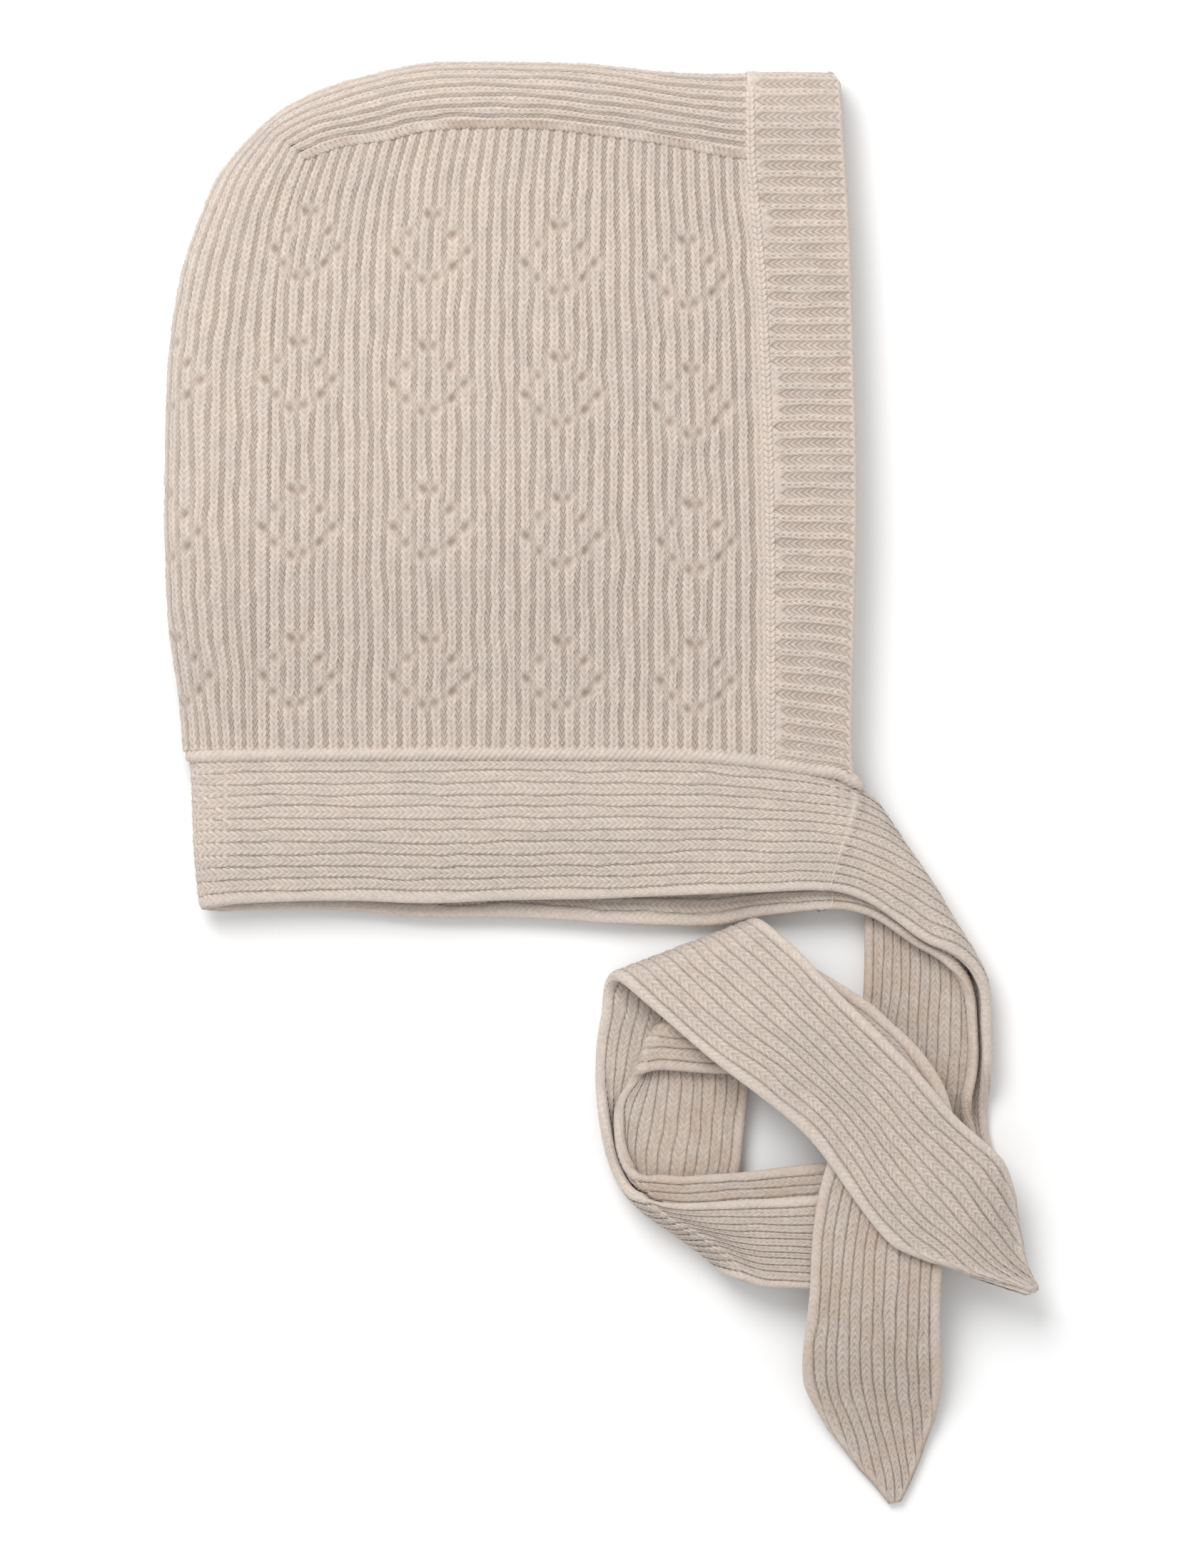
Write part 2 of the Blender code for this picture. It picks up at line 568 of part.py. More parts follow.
for old in list(bpy.data.objects):
    bpy.data.objects.remove(old, do_unlink=True)
COLLECTION = bpy.data.collections.new("knitted_baby_bonnet")
bpy.context.scene.collection.children.link(COLLECTION)
NEAR_TIE = Ribbon(NEAR_LEGS, NEAR_LEVELS, NEAR_CREASES, NEAR_WIDTHS, NEAR_BENDS, NEAR_SHIFT,
                  NEAR_DRAPE, NEAR_TAIL, NEAR_LEAN)
FAR_TIE = Ribbon(FAR_LEGS, FAR_LEVELS, FAR_CREASES, FAR_WIDTHS, FAR_BENDS, FAR_SHIFT,
                 FAR_DRAPE, FAR_TAIL, FAR_LEAN)
shell()
front_band()
neck_band()
neck_roll()
crown_seam("crown_seam_near", True)
crown_seam("crown_seam_far", False)
tie("tie_near", NEAR_TIE, NEAR_START)
tie("tie_far", FAR_TIE, FAR_START)
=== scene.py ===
"""Looks of the knitted baby bonnet: ribbed knit with stitches, eyelet motifs, braided seams and ties."""
import math

import bpy
import numpy as np
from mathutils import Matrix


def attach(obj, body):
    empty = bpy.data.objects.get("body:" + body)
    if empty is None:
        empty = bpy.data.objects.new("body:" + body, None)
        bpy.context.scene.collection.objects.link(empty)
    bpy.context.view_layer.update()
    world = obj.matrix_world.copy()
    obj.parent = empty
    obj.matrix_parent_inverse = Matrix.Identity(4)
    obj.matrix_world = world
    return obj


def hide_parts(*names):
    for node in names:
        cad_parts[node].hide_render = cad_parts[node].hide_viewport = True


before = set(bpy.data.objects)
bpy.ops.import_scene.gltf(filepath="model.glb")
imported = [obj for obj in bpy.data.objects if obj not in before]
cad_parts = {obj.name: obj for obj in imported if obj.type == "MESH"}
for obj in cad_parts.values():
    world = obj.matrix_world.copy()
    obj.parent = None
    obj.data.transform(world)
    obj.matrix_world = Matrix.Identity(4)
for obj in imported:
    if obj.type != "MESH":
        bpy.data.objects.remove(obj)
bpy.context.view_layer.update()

# Lengths are in millimetres until a mesh is made. These repeat the solids' own sizes and turns.
MM = 0.001
DEPTH = 155.0
HEIGHT = 190.4
LOFT = 20.0
FRONT_LOFT = 12.0
NECK_LOFT = 10.4
FOLD_REACH = 11.0
WALL = 2.2
BAND_WALL = 3.0
TIE_WIDTH = 30.0
TIE_WALL = 2.2
GAP = 0.3
ROLL = 1.35
NEAR_TAIL = 120.0
FAR_TAIL = 146.0
ORIGIN = (0.6242, 0.1497)
CROWN_FALL = 0.12
HEAD_TURN = 18.0
NEAR_START = -9.0
FAR_START = -12.0
NEAR_LEAN = 1.1
FAR_LEAN = 0.0

# Gauge of the knitting: stitch height, then the ribs and the courses of each part.
STITCH = 1.39
TIE_STITCH = 1.43
PANEL_RIBS = 34
STRIP_RIBS = 8
FRONT_RIBS = 42
BAND_RIBS = 12
PANEL_COURSES = 97
FAR_PANEL_COURSES = 32
FRONT_COURSES = 14
# Places in one course where rows of points lie: three for a close look, two elsewhere.
FINE_ROWS = (0, 0.35, 0.7)
PLAIN_ROWS = (0, 0.5)
# How far a row's V runs along the rib, in stitches.
VEE = 1.1
# Share of a rib that its knit column takes, and how far it stands out of the valley.
# Over CLOSED the columns touch, and the valley between them is a shallow line.
CLOSED = 0.8
PANEL_RIB = (0.65, 0.6)
FRONT_RIB = (0.46, 0.7)
BAND_RIB = (0.86, 0.5)

# Outer silhouette from the nape up the back, over the crown and on to the front seam.
# Columns: share of DEPTH from the back, share of HEIGHT from the neck edge.
OUTLINE = [
    (0.029, 0.194), (0.022, 0.258), (0.007, 0.325), (0.002, 0.392), (0.000, 0.460), (0.001, 0.527),
    (0.004, 0.628), (0.012, 0.695), (0.028, 0.762), (0.057, 0.829), (0.082, 0.871), (0.123, 0.910),
    (0.164, 0.940), (0.205, 0.959), (0.247, 0.973), (0.288, 0.982), (0.370, 0.997), (0.453, 0.999),
    (0.536, 0.999), (0.618, 0.997), (0.701, 0.990), (0.783, 0.987), (0.843, 0.988),
]
# Outline point opposite the seam's start, gusset rib up the back, then the crown seam. Same columns.
CORNER = (0.148, 0.913)
GUSSET = [(0.148, 0.194), (0.149, 0.317), (0.151, 0.485), (0.155, 0.653), (0.163, 0.754),
          (0.179, 0.829), (0.205, 0.887)]
CROWN = [(0.205, 0.887), (0.255, 0.902), (0.324, 0.910), (0.381, 0.921), (0.463, 0.924),
         (0.550, 0.923), (0.618, 0.917), (0.721, 0.906), (0.789, 0.895), (0.843, 0.889)]
# Line where the side panel meets the front band, top to bottom, then the panel's foot, back to
# front. Same columns.
FRONT_SEAM = [(0.843, 0.889), (0.858, 0.754), (0.867, 0.603), (0.872, 0.434), (0.873, 0.317),
              (0.873, 0.186)]
NECK_LINE = [(0.148, 0.194), (0.298, 0.197), (0.690, 0.196), (0.794, 0.192), (0.873, 0.186)]
# Front edge of the band from the crown down. Same columns.
FRONT_EDGE = [(0.976, 0.986), (0.981, 0.913), (0.990, 0.796), (0.996, 0.636), (1.000, 0.485),
              (0.996, 0.334), (0.993, 0.182)]
# Rolled edge round the neck, from the front corner to the nape. Same columns.
ROLL_LINE = [(1.006, 0.143), (0.992, 0.153), (0.979, 0.161), (0.928, 0.168), (0.876, 0.174),
             (0.794, 0.181), (0.690, 0.184), (0.484, 0.185), (0.174, 0.184), (0.092, 0.183)]
# Lower edges of the neck band, front corner to nape, on the near and the far side.
NEAR_HEM = [(0.959, 0.026), (0.893, 0.024), (0.788, 0.019), (0.683, 0.017), (0.567, 0.014),
            (0.174, 0.013), (0.092, 0.013)]
FAR_HEM = [(0.948, -0.002), (0.893, -0.003), (0.846, -0.011), (0.783, -0.021), (0.659, -0.016),
           (0.536, -0.009), (0.370, -0.003), (0.205, 0.003), (0.092, 0.005)]

# Heights of the cloth's middle, laid one on another with GAP between.
STEP = TIE_WALL + GAP
FLOOR = TIE_WALL / 2
NEAR_LEVELS = [NECK_LOFT, FLOOR, FLOOR + 3.6 * STEP, FLOOR, FLOOR + 3.2 * STEP]
FAR_LEVELS = [NECK_LOFT - STEP, FLOOR + STEP, FLOOR + 2.6 * STEP, FLOOR + STEP, FLOOR + 2.2 * STEP]
# Ties. Columns of legs: heading in degrees, share of DEPTH, share of HEIGHT on the centre line.
NEAR_LEGS = [(-26.0, (1.060, 0.071)), (-92.0, (1.118, -0.129)), (-177.5, (0.853, -0.402)),
             (-274.0, (0.702, -0.187)), (-402.0, (0.773, -0.091))]
FAR_LEGS = [(-28.0, (1.052, 0.054)), (-92.0, (1.093, -0.129)), (-177.5, (0.853, -0.369)),
            (-273.4, (0.743, -0.238)), (-366.0, (0.825, -0.115))]
# Columns of creases: start and length of the turn that carries the crease out along the edge,
# then where its curl is pressed flat again, measured back from the next crease. None is straight.
NEAR_CREASES = [(24.0, 26.0, 31.0, 17.0), None, (18.0, 20.0, 36.0, 14.0), None]
FAR_CREASES = [(17.0, 26.0, 23.0, 13.0), None, (13.0, 20.0, 29.0, 16.0), None]
# Columns of widths: crease it is measured from, offset, share of TIE_WIDTH.
NEAR_WIDTHS = [(0, -30, 0.74), (0, -6, 0.76), (0, 14, 1.0), (1, -32, 1.0), (1, -15, 0.8),
               (2, 5, 0.8), (2, 36, 1.0)]
FAR_WIDTHS = [(0, -30, 0.74), (0, -9, 0.76), (0, 10, 0.88), (1, -15, 0.88), (1, -5, 0.8),
              (2, 0, 0.8), (2, 20, 1.0)]
# Columns of the point: offset from the tie's end, share of TIE_WIDTH.
TIP = [(-27, 1.0), (-18, 0.87), (-9, 0.58), (-4, 0.34), (0, 0.12)]
# Columns of bends after the last crease: start, end, degrees.
NEAR_BENDS = [(49, 74, -8.0)]
FAR_BENDS = [(12, 47, -40.0), (42, 77, -56.0), (77, 107, 12.0), (112, 144, 10.0)]
# Columns of sideways shift before the last crease: offset, shift.
NEAR_SHIFT = [(-31, 0.0), (-8, 5.0)]
FAR_SHIFT = [(-31, 0.0), (-8, 0.0)]
# Columns of drape on the last leg: offset, height of the cloth's middle in steps over the table.
NEAR_DRAPE = [(0, 3.2), (18, 3.5), (38, 5.7), (95, 5.7), (109, 4.6), (123, 2.8)]
FAR_DRAPE = [(0, 2.2), (18, 2.4), (38, 4.6), (104, 4.6), (127, 0.3), (132, 0.0)]
# Eyelet motifs. Columns: rib where the motif is centred, share of HEIGHT.
MOTIFS = [
    (2, 0.783), (11, 0.779), (20, 0.766), (29, 0.750),
    (-7, 0.628), (2, 0.629), (11, 0.624), (20, 0.611), (29, 0.598),
    (-7, 0.451), (2, 0.456), (11, 0.456), (20, 0.446), (29, 0.439),
    (-7, 0.283), (2, 0.282), (11, 0.281), (20, 0.279), (29, 0.276),
]
# Eyelets of one motif, mirrored about its centre. Columns: ribs aside, millimetres up.
EYELETS = [(0.45, 7.3), (0.45, -6.9), (1.45, 3.2), (1.5, -4.4), (2.45, -0.9)]
EYELET = 0.92
EYELET_DEPTH = 1.1
# Distance between ribs where the motifs lie, on the side panel and on the strip round the back.
PANEL_PITCH = 3.3
STRIP_PITCH = 3.2
# Width of the plain edge of a tie, and how far the strip's edge is tucked under the crown seam.
SELVEDGE = 1.9
TUCK = 0.45
# Stretch over which the neck band and a tie blend into one curve, how soft the blend is,
# and how far the tie runs on inside the neck band's end.
JOIN_REACH = 34.0
JOIN_SOFT = 9.0
OVERLAP = 1.43
# How far the folds at the nape reach out: at the neck band's top, at its hem, and at the rolled edge.
NAPE_TOP = 0.047 * DEPTH
NAPE_HEM = 0.033 * DEPTH
NAPE_ROLL = 0.051 * DEPTH
# How far the two hems close up on each other behind the front corner.
NEAR_CLOSE = 2.6
FAR_CLOSE = 3.0
# How far the far side's crown seam lies over the table's level.
FAR_SEAM_RISE = 3.2
# Rolled edge: its plumpness, how its stitches slant, how far it stands up, and how far its end sinks.
ROLL_PLUMP = 1.2
ROLL_SLANT = 0.9
ROLL_RISE = 0.6
ROLL_SINK = 0.9
ROLL_SIDES = 14
# Heights of the near braid over the panel, of the far one over the table and of the front seam's
# chain over the band's middle, and how far across the band that chain lies.
BRAID_RISE = 0.15
BRAID_FLAT = 0.64
CHAIN_RISE = 1.55
CHAIN_SHARE = 0.04
# Chains of stitches, in millimetres and radians. Columns: spacing, length, width, lean, twist,
# and how far its two rows lie apart.
NEAR_BRAID = (1.15, 2.3, 1.0, 0.12, -0.75, 0.5)
FAR_BRAID = (1.7, 2.1, 0.9, 0.12, -0.75, 0.5)
SEAM_CHAIN = (1.39, 2.1, 1.05, 0.45, 0.0, 1.0)
# Linear colours of the wool: its own colour in the light and in greyer patches, then painted shade:
# on the far tie, in the crown seams' groove, in the eyelets and in the valleys.
LIGHT_WOOL = (0.655, 0.560, 0.487)
GREY_WOOL = (0.612, 0.533, 0.472)
FAR_SHADE_WOOL = (0.580, 0.474, 0.394)
SEAM_SHADE_WOOL = (0.430, 0.345, 0.283)
HOLE_SHADE_WOOL = (0.285, 0.240, 0.205)
SHADE_WOOL = (0.370, 0.292, 0.238)
PAPER = (0.91, 0.91, 0.91)
# Scales of the wool's patches, flecks and nap, and how deep the nap lies, in metres.
PATCHES = 140.0
FLECKS = 1100.0
NAP = 2600.0
NAP_DEPTH = 0.0003
# Stretch of table that the frame shows, and the point under the camera, in the tables' shares.
FRAME_HEIGHT = 351.5
FRAME_CENTRE = (0.6285, 0.1500)
# Heights, sizes and places in metres: the camera, the lamp, half the floor's side, the floor's
# level, and the lowest that stitches reach, pressed flat on the floor.
CAMERA_HEIGHT = 3.0
SKY = 0.80
LAMP_SIZE = 0.60
LAMP_POWER = 6.1
LAMP_PLACE = (-0.28, 0.50, 0.78)
FLOOR_REACH = 2.0
FLOOR_Z = -0.0002
TABLE = -0.00005

# The view's own steps of 0.16 mm, right and down from its upper left corner: the shell's back and
# depth, and the neck edge and the height over it.
VIEW_BACK, VIEW_DEPTH = 231, 969
VIEW_NECK, VIEW_HEIGHT = 1277, 1190
# Nothing above this step is settled.
SETTLED_BELOW = 800
# Small settlings of the cloth in plan, in those steps: where a point lies in the solids, then where
# the wool lies.
NUDGES = [
    (824, 1550, 838, 1550), (822, 1600, 846, 1596), (824, 1650, 861, 1638), (838, 1686, 879, 1670),
    (870, 1722, 911, 1702), (910, 1764, 948, 1727), (945, 1800, 980, 1755), (975, 1828, 1010, 1777),
    (1010, 1834, 1040, 1796), (1060, 1831, 1075, 1804), (1128, 1828, 1135, 1806), (1140, 2000, 1157, 2000),
    (1170, 2050, 1195, 2050), (1195, 2082, 1222, 2080), (1225, 2104, 1245, 2104), (1314, 1950, 1320, 1950),
    (1303, 2000, 1309, 2000), (1285, 2050, 1291, 2050), (1268, 2085, 1278, 2085), (1245, 2106, 1257, 2105),
    (1316, 1800, 1320, 1777), (1350, 1813, 1352, 1788), (1385, 1823, 1392, 1801), (1415, 1830, 1436, 1808),
    (1388, 1600, 1396, 1598), (1388, 1620, 1399, 1618), (1405, 1650, 1412, 1648), (1440, 1745, 1436, 1745),
    (1441, 1790, 1446, 1797), (1288, 1200, 1283, 1203), (1322, 1250, 1315, 1253), (1350, 1300, 1341, 1304),
    (1374, 1350, 1373, 1352), (1386, 1400, 1391, 1400), (1387, 1450, 1392, 1450), (1385, 1500, 1394, 1500),
    (1388, 1565, 1381, 1565), (853, 1390, 843, 1388), (852, 1430, 841, 1430), (950, 1325, 950, 1321),
    (1085, 1315, 1092, 1310), (1060, 1535, 1066, 1528), (1100, 1577, 1107, 1569), (1150, 1625, 1158, 1617),
    (1140, 1636, 1140, 1629), (262, 1000, 258, 1000), (276, 1150, 272, 1150), (281, 1210, 276, 1212),
    (285, 1262, 283, 1269), (1200, 1095, 1203, 1093), (1235, 1140, 1238, 1138), (400, 1266, 400, 1268),
    (600, 1275, 600, 1280),
]
# Points that stay where they are.
HELD = [
    (1130, 1950), (1193, 1060), (940, 1688), (1000, 1690), (1060, 1688), (1130, 1684), (870, 1560),
    (880, 1640), (930, 1500), (1000, 1480), (960, 1600), (1040, 1560), (1180, 1500), (1250, 1600),
    (1300, 1700), (1220, 1800), (1220, 1900), (1220, 1700), (1250, 1400), (1330, 1450), (1150, 1200),
    (1000, 1200), (1215, 1300), (1100, 1270), (900, 1260), (400, 1200), (400, 1000), (1120, 1000),
    (260, 880), (1380, 1720),
]
# Further settlings of the far tie alone: its round inner corner, and its arc beside the near
# tie's last leg.
FAR_NUDGES = [
    (862, 1488, 890, 1504), (930, 1480, 930, 1483), (1085, 1330, 1085, 1340), (1120, 1333, 1120, 1347),
    (1150, 1341, 1150, 1359), (1180, 1358, 1180, 1377), (1206, 1377, 1206, 1395), (1250, 1424, 1246, 1436),
    (1300, 1490, 1298, 1496),
]
FAR_HELD = [(866, 1550), (920, 1540), (1000, 1470), (1150, 1420), (1200, 1460), (1212, 1310)]
# How far one point's settling is felt, in millimetres, and how far the fit may ease it.
REACH = 9.0
FAR_REACH = 5.0
EASE = 0.05


def smooth(t):
    """Ease from 0 to 1."""
    t = np.clip(t, 0, 1)
    return t * t * (3 - 2 * t)


def value_at(table, x):
    """Value at x of a table with two columns."""
    return np.interp(x, [row[0] for row in table], [row[1] for row in table])


def at(share):
    """Plan position in millimetres of a pair of shares."""
    return np.array([(share[0] - ORIGIN[0]) * DEPTH, (share[1] - ORIGIN[1]) * HEIGHT])


def measure(x, y):
    """Plan position in millimetres of a place in the view's steps."""
    return at(((x - VIEW_BACK) / VIEW_DEPTH, (VIEW_NECK - y) / VIEW_HEIGHT))


def lengths(path):
    """Length along a path at each of its points."""
    return np.concatenate([[0], np.cumsum(np.linalg.norm(np.diff(path, axis=0), axis=1))])


def rounded(edge, reach, drop):
    """Share of a sheet's thickness left where its edge is rounded off over its last stretch."""
    return np.sqrt(1 - drop * np.clip(1 - edge / reach, 0, 1) ** 2)


class Settling:
    """Moves points in plan by a table of nudges, each softly shared out over its reach."""

    def __init__(self, moved, held, reach):
        self.reach = reach
        table = moved + [place + place for place in held]
        self.start = np.array([measure(row[0], row[1]) for row in table])
        way = np.array([measure(row[2], row[3]) for row in table]) - self.start
        self.gain = np.linalg.solve(self.closeness(self.start) + EASE * np.eye(len(table)), way)

    def closeness(self, points):
        """How much each of the table's nudges is felt at each point."""
        away = np.linalg.norm(points[:, None] - self.start[None], axis=-1)
        return np.exp(-(away / self.reach) ** 2 / 2)

    def __call__(self, p):
        flat = p.reshape(-1, 3).copy()
        low = np.flatnonzero(flat[:, 1] < measure(0, SETTLED_BELOW)[1])
        flat[low, :2] += self.closeness(flat[low, :2]) @ self.gain
        return flat.reshape(p.shape)


settle = Settling(NUDGES, HELD, REACH)
settle_far = Settling(FAR_NUDGES, FAR_HELD, FAR_REACH)


class Line:
    """Smooth curve through a table of shares, read by its share of length."""

    def __init__(self, table):
        p = np.array([at(row) for row in table])
        q = [p[0]]
        for i in range(len(p) - 1):
            a = p[max(i - 1, 0)]
            b, c = p[i], p[i + 1]
            d = p[min(i + 2, len(p) - 1)]
            for k in range(1, 9):
                t = k / 8
                q.append(0.5 * (2 * b + (c - a) * t + (2 * a - 5 * b + 4 * c - d) * t * t
                                + (3 * b - a - 3 * c + d) * t ** 3))
        self.p = np.array(q)
        self.s = lengths(self.p)
        self.length = self.s[-1]

    def __call__(self, t):
        s = np.asarray(t) * self.length
        return np.stack([np.interp(s, self.s, self.p[:, 0]), np.interp(s, self.s, self.p[:, 1])], -1)

    def y_at(self, x):
        """Height of the curve at places across."""
        order = np.argsort(self.p[:, 0])
        return np.interp(x, self.p[order, 0], self.p[order, 1])

    def x_at(self, y):
        """Place across of the curve at heights."""
        order = np.argsort(self.p[:, 1])
        return np.interp(y, self.p[order, 1], self.p[order, 0])


def shares(x, y):
    """Shares of DEPTH and HEIGHT of a place in plan."""
    return x / DEPTH + ORIGIN[0], y / HEIGHT + ORIGIN[1]


def loft(x, y):
    """Height of the middle of the near layer over the table."""
    a, b = shares(x, y)
    body = LOFT + (FRONT_LOFT - LOFT) * smooth((a - 0.45) / 0.5)
    body = body - CROWN_FALL * LOFT * smooth((b - 0.55) / 0.5)
    neck = NECK_LOFT + 1.2 * smooth((0.9 - a) / 0.6)
    return neck + (body - neck) * smooth((b - 0.17) / 0.3)


def wrap(run, reach, rise):
    """Inward distance and share of rise, run millimetres round from a fold, and the fold's length."""
    fi = np.linspace(0, math.pi / 2, 33)
    d, e = reach * (1 - np.cos(fi)), np.sin(fi)
    step = np.hypot(np.diff(d), np.diff(e) * rise[..., None])
    s = np.concatenate([0 * step[..., :1], np.cumsum(step, -1)], -1)
    i = np.clip((s <= run[..., None]).sum(-1) - 1, 0, len(fi) - 2)
    s0 = np.take_along_axis(s, i[..., None], -1)[..., 0]
    s1 = np.take_along_axis(s, i[..., None] + 1, -1)[..., 0]
    f = np.clip((run - s0) / (s1 - s0), 0, 1)
    past = np.maximum(run - s[..., -1], 0)
    return d[i] * (1 - f) + d[i + 1] * f + past, e[i] * (1 - f) + e[i + 1] * f, s[..., -1]


class Ribbon:
    """Flat strip laid in straight legs joined by diagonal folds over or under."""

    def __init__(self, legs, levels, creases, widths, bends, shift, drape, tail, lean):
        self.heading = [math.radians(row[0]) for row in legs]
        self.levels, self.lean = levels, lean
        points = [at(row[1]) for row in legs]
        unit = [np.array([math.cos(h), math.sin(h)]) for h in self.heading]
        self.creases, self.frames = [], []
        s, start, mirror = 0.0, None, 1.0
        for i in range(len(legs) - 1):
            r = abs(levels[i + 1] - levels[i]) / 2
            u = unit[i] + unit[i + 1]
            u = u / np.linalg.norm(u)
            angle = math.asin(unit[i][0] * u[1] - unit[i][1] * u[0])
            slide = math.pi * r / math.tan(abs(angle))
            base = points[0] if start is None else start
            w = base + u * slide - points[i + 1]
            turn = unit[i][0] * unit[i + 1][1] - unit[i][1] * unit[i + 1][0]
            a = -(w[0] * unit[i + 1][1] - w[1] * unit[i + 1][0]) / turn
            hit = base + a * unit[i]
            if start is None:
                self.frames.append((0.0, hit, self.heading[0], 1.0))
            else:
                s = s + a
            alpha = angle * mirror
            self.creases.append({"s": s, "alpha": alpha, "side": -1.0 if alpha > 0 else 1.0, "r": r,
                                 "z": levels[i], "up": np.sign(levels[i + 1] - levels[i])})
            s = s + math.pi * r / math.sin(abs(angle))
            start = hit + u * slide
            mirror = -mirror
            self.frames.append((s, start, self.heading[i + 1], mirror))
        for i, row in enumerate(creases):
            self.trace(i, row)
        mark = [c["s"] for c in self.creases]
        self.end = mark[3] + tail
        self.widths = [(mark[k] + a, b) for k, a, b in widths] + [(self.end + a, b) for a, b in TIP]
        self.bends = [(mark[3] + a, mark[3] + b, c) for a, b, c in bends]
        self.shift = [(mark[3] + a, b) for a, b in shift]
        low = levels[4] / STEP - FLOOR / STEP
        self.drape = [(mark[3] + a, (b - low) * STEP) for a, b in drape]
        self.drape = [(mark[2], 0.0), (mark[3] + 12, 0.0)] + [d for d in self.drape if d[0] > mark[3] + 12]

    def world(self, i, x, y):
        """Plan position of a point of the flat strip, laid as leg i is."""
        s, p, h, m = self.frames[i]
        a, b = x - s, y * m
        return p[0] + a * math.cos(h) - b * math.sin(h), p[1] + a * math.sin(h) + b * math.cos(h)

    def trace(self, i, row):
        """Line of crease i, and where the cloth on both sides of it lies in plan."""
        c = self.creases[i]
        t = np.arange(-90.0, 90.0, 0.25)
        ang = np.full(t.shape, c["alpha"])
        if row:
            ang = ang * (1 - np.clip((t - row[0]) / row[1], 0, 1))
        x, y = np.cumsum(np.cos(ang) * 0.25), np.cumsum(np.sin(ang) * 0.25)
        j = int(np.argmin(abs(t)))
        x, y = x - x[j] + c["s"], y - y[j]
        nx, ny = -c["side"] * np.sin(ang), c["side"] * np.cos(ang)
        far = t > 0
        ax, ay = self.world(i + 1, x + nx * math.pi * c["r"], y + ny * math.pi * c["r"])
        bx, by = self.world(i, x, y)
        out = []
        for k, sign in ((i + 1, -1.0), (i, 1.0)):
            h, m = self.frames[k][2:]
            out.append((sign * (nx * math.cos(h) - ny * m * math.sin(h)),
                        sign * (nx * math.sin(h) + ny * m * math.cos(h))))
        c.update(t=t, x=x, y=y, ang=ang, wx=np.where(far, ax, bx), wy=np.where(far, ay, by),
                 nx=np.where(far, out[0][0], out[1][0]), ny=np.where(far, out[0][1], out[1][1]))
        c["curl"] = row
        following = self.creases[i + 1]["s"] if i + 1 < len(self.creases) else 1e6
        c["fade"] = (following - row[2], following - row[3]) if row else (1e6, 2e6)

    def heading_at(self, s):
        """Turn of the flat strip where it bends within a leg."""
        a = np.radians(HEAD_TURN) * smooth((4.0 - s) / 28.0)
        for first, last, turn in self.bends:
            a = a + math.radians(turn) * smooth((s - first) / (last - first))
        return a

    def flat(self, s, w):
        """Point of the strip before it is folded."""
        w = w * value_at(self.widths, s)
        g = np.linspace(-60, self.end + 5, 2400)
        h = self.heading_at(g)
        cx = np.concatenate([[0], np.cumsum(np.cos(h[:-1]) * np.diff(g))])
        cy = np.concatenate([[0], np.cumsum(np.sin(h[:-1]) * np.diff(g))])
        mid = (self.creases[1]["s"] + self.creases[2]["s"]) / 2
        cx, cy = cx - np.interp(mid, g, cx) + mid, cy - np.interp(mid, g, cy)
        a = self.heading_at(s)
        x = np.interp(s, g, cx) - w * np.sin(a)
        y = np.interp(s, g, cy) + w * np.cos(a)
        return x, y + value_at(self.shift, s)

    def place(self, s, w):
        """Middle of the cloth at s along and w across."""
        s, w = np.broadcast_arrays(np.asarray(s, float), np.asarray(w, float))
        shape = s.shape
        s, w = s.ravel(), w.ravel()
        x, y = self.flat(s, w)
        out = np.zeros((s.size, 3))
        free = np.ones(s.size, bool)
        for i, c in enumerate(self.creases):
            j = np.argmin((x[:, None] - c["x"][None]) ** 2 + (y[:, None] - c["y"][None]) ** 2, axis=1)
            ca, sa = np.cos(c["ang"][j]), np.sin(c["ang"][j])
            ex, ey = x - c["x"][j], y - c["y"][j]
            along = ex * ca + ey * sa
            v = c["side"] * (ey * ca - ex * sa)
            bx = c["wx"][j] + np.gradient(c["wx"], c["t"])[j] * along
            by = c["wy"][j] + np.gradient(c["wy"], c["t"])[j] * along
            r = c["r"]
            first, last = c["fade"]
            here = free & (v <= 0) & (s < last)
            fx, fy = bx + v * c["nx"][j], by + v * c["ny"][j]
            if i > 0 and not c["curl"]:
                fx, fy = self.world(i, x, y)
            out[here] = np.stack([fx, fy, np.full(s.size, c["z"])], 1)[here]
            free = free & ~here
            here = free & (v > 0) & (v < math.pi * r) & (s < last)
            f = smooth((s - first) / (last - first))
            rx, ry = self.world(i + 1, x, y)
            px = (bx + c["nx"][j] * r * np.sin(v / r)) * (1 - f) + rx * f
            py = (by + c["ny"][j] * r * np.sin(v / r)) * (1 - f) + ry * f
            pz = (c["z"] + c["up"] * r * (1 - np.cos(v / r))) * (1 - f) + (c["z"] + 2 * c["up"] * r) * f
            out[here] = np.stack([px, py, pz], 1)[here]
            free = free & ~here
        fx, fy = self.world(len(self.creases), x, y)
        out[free] = np.stack([fx, fy, np.full(s.size, self.levels[-1])], 1)[free]
        last = self.creases[3]["s"]
        read = s + w * self.lean * smooth((s - last - 40) / 40)
        for step in (-9.0, -6.0, -3.0, 0.0, 3.0, 6.0, 9.0):
            out[:, 2] += value_at(self.drape, read + step) / 7
        return out.reshape(shape + (3,))


def far_rise(a):
    """How far the far side of the neck band lifts off the table towards the front corner."""
    return (NECK_LOFT - STEP - FLOOR) * smooth((a - 0.76) / 0.2)


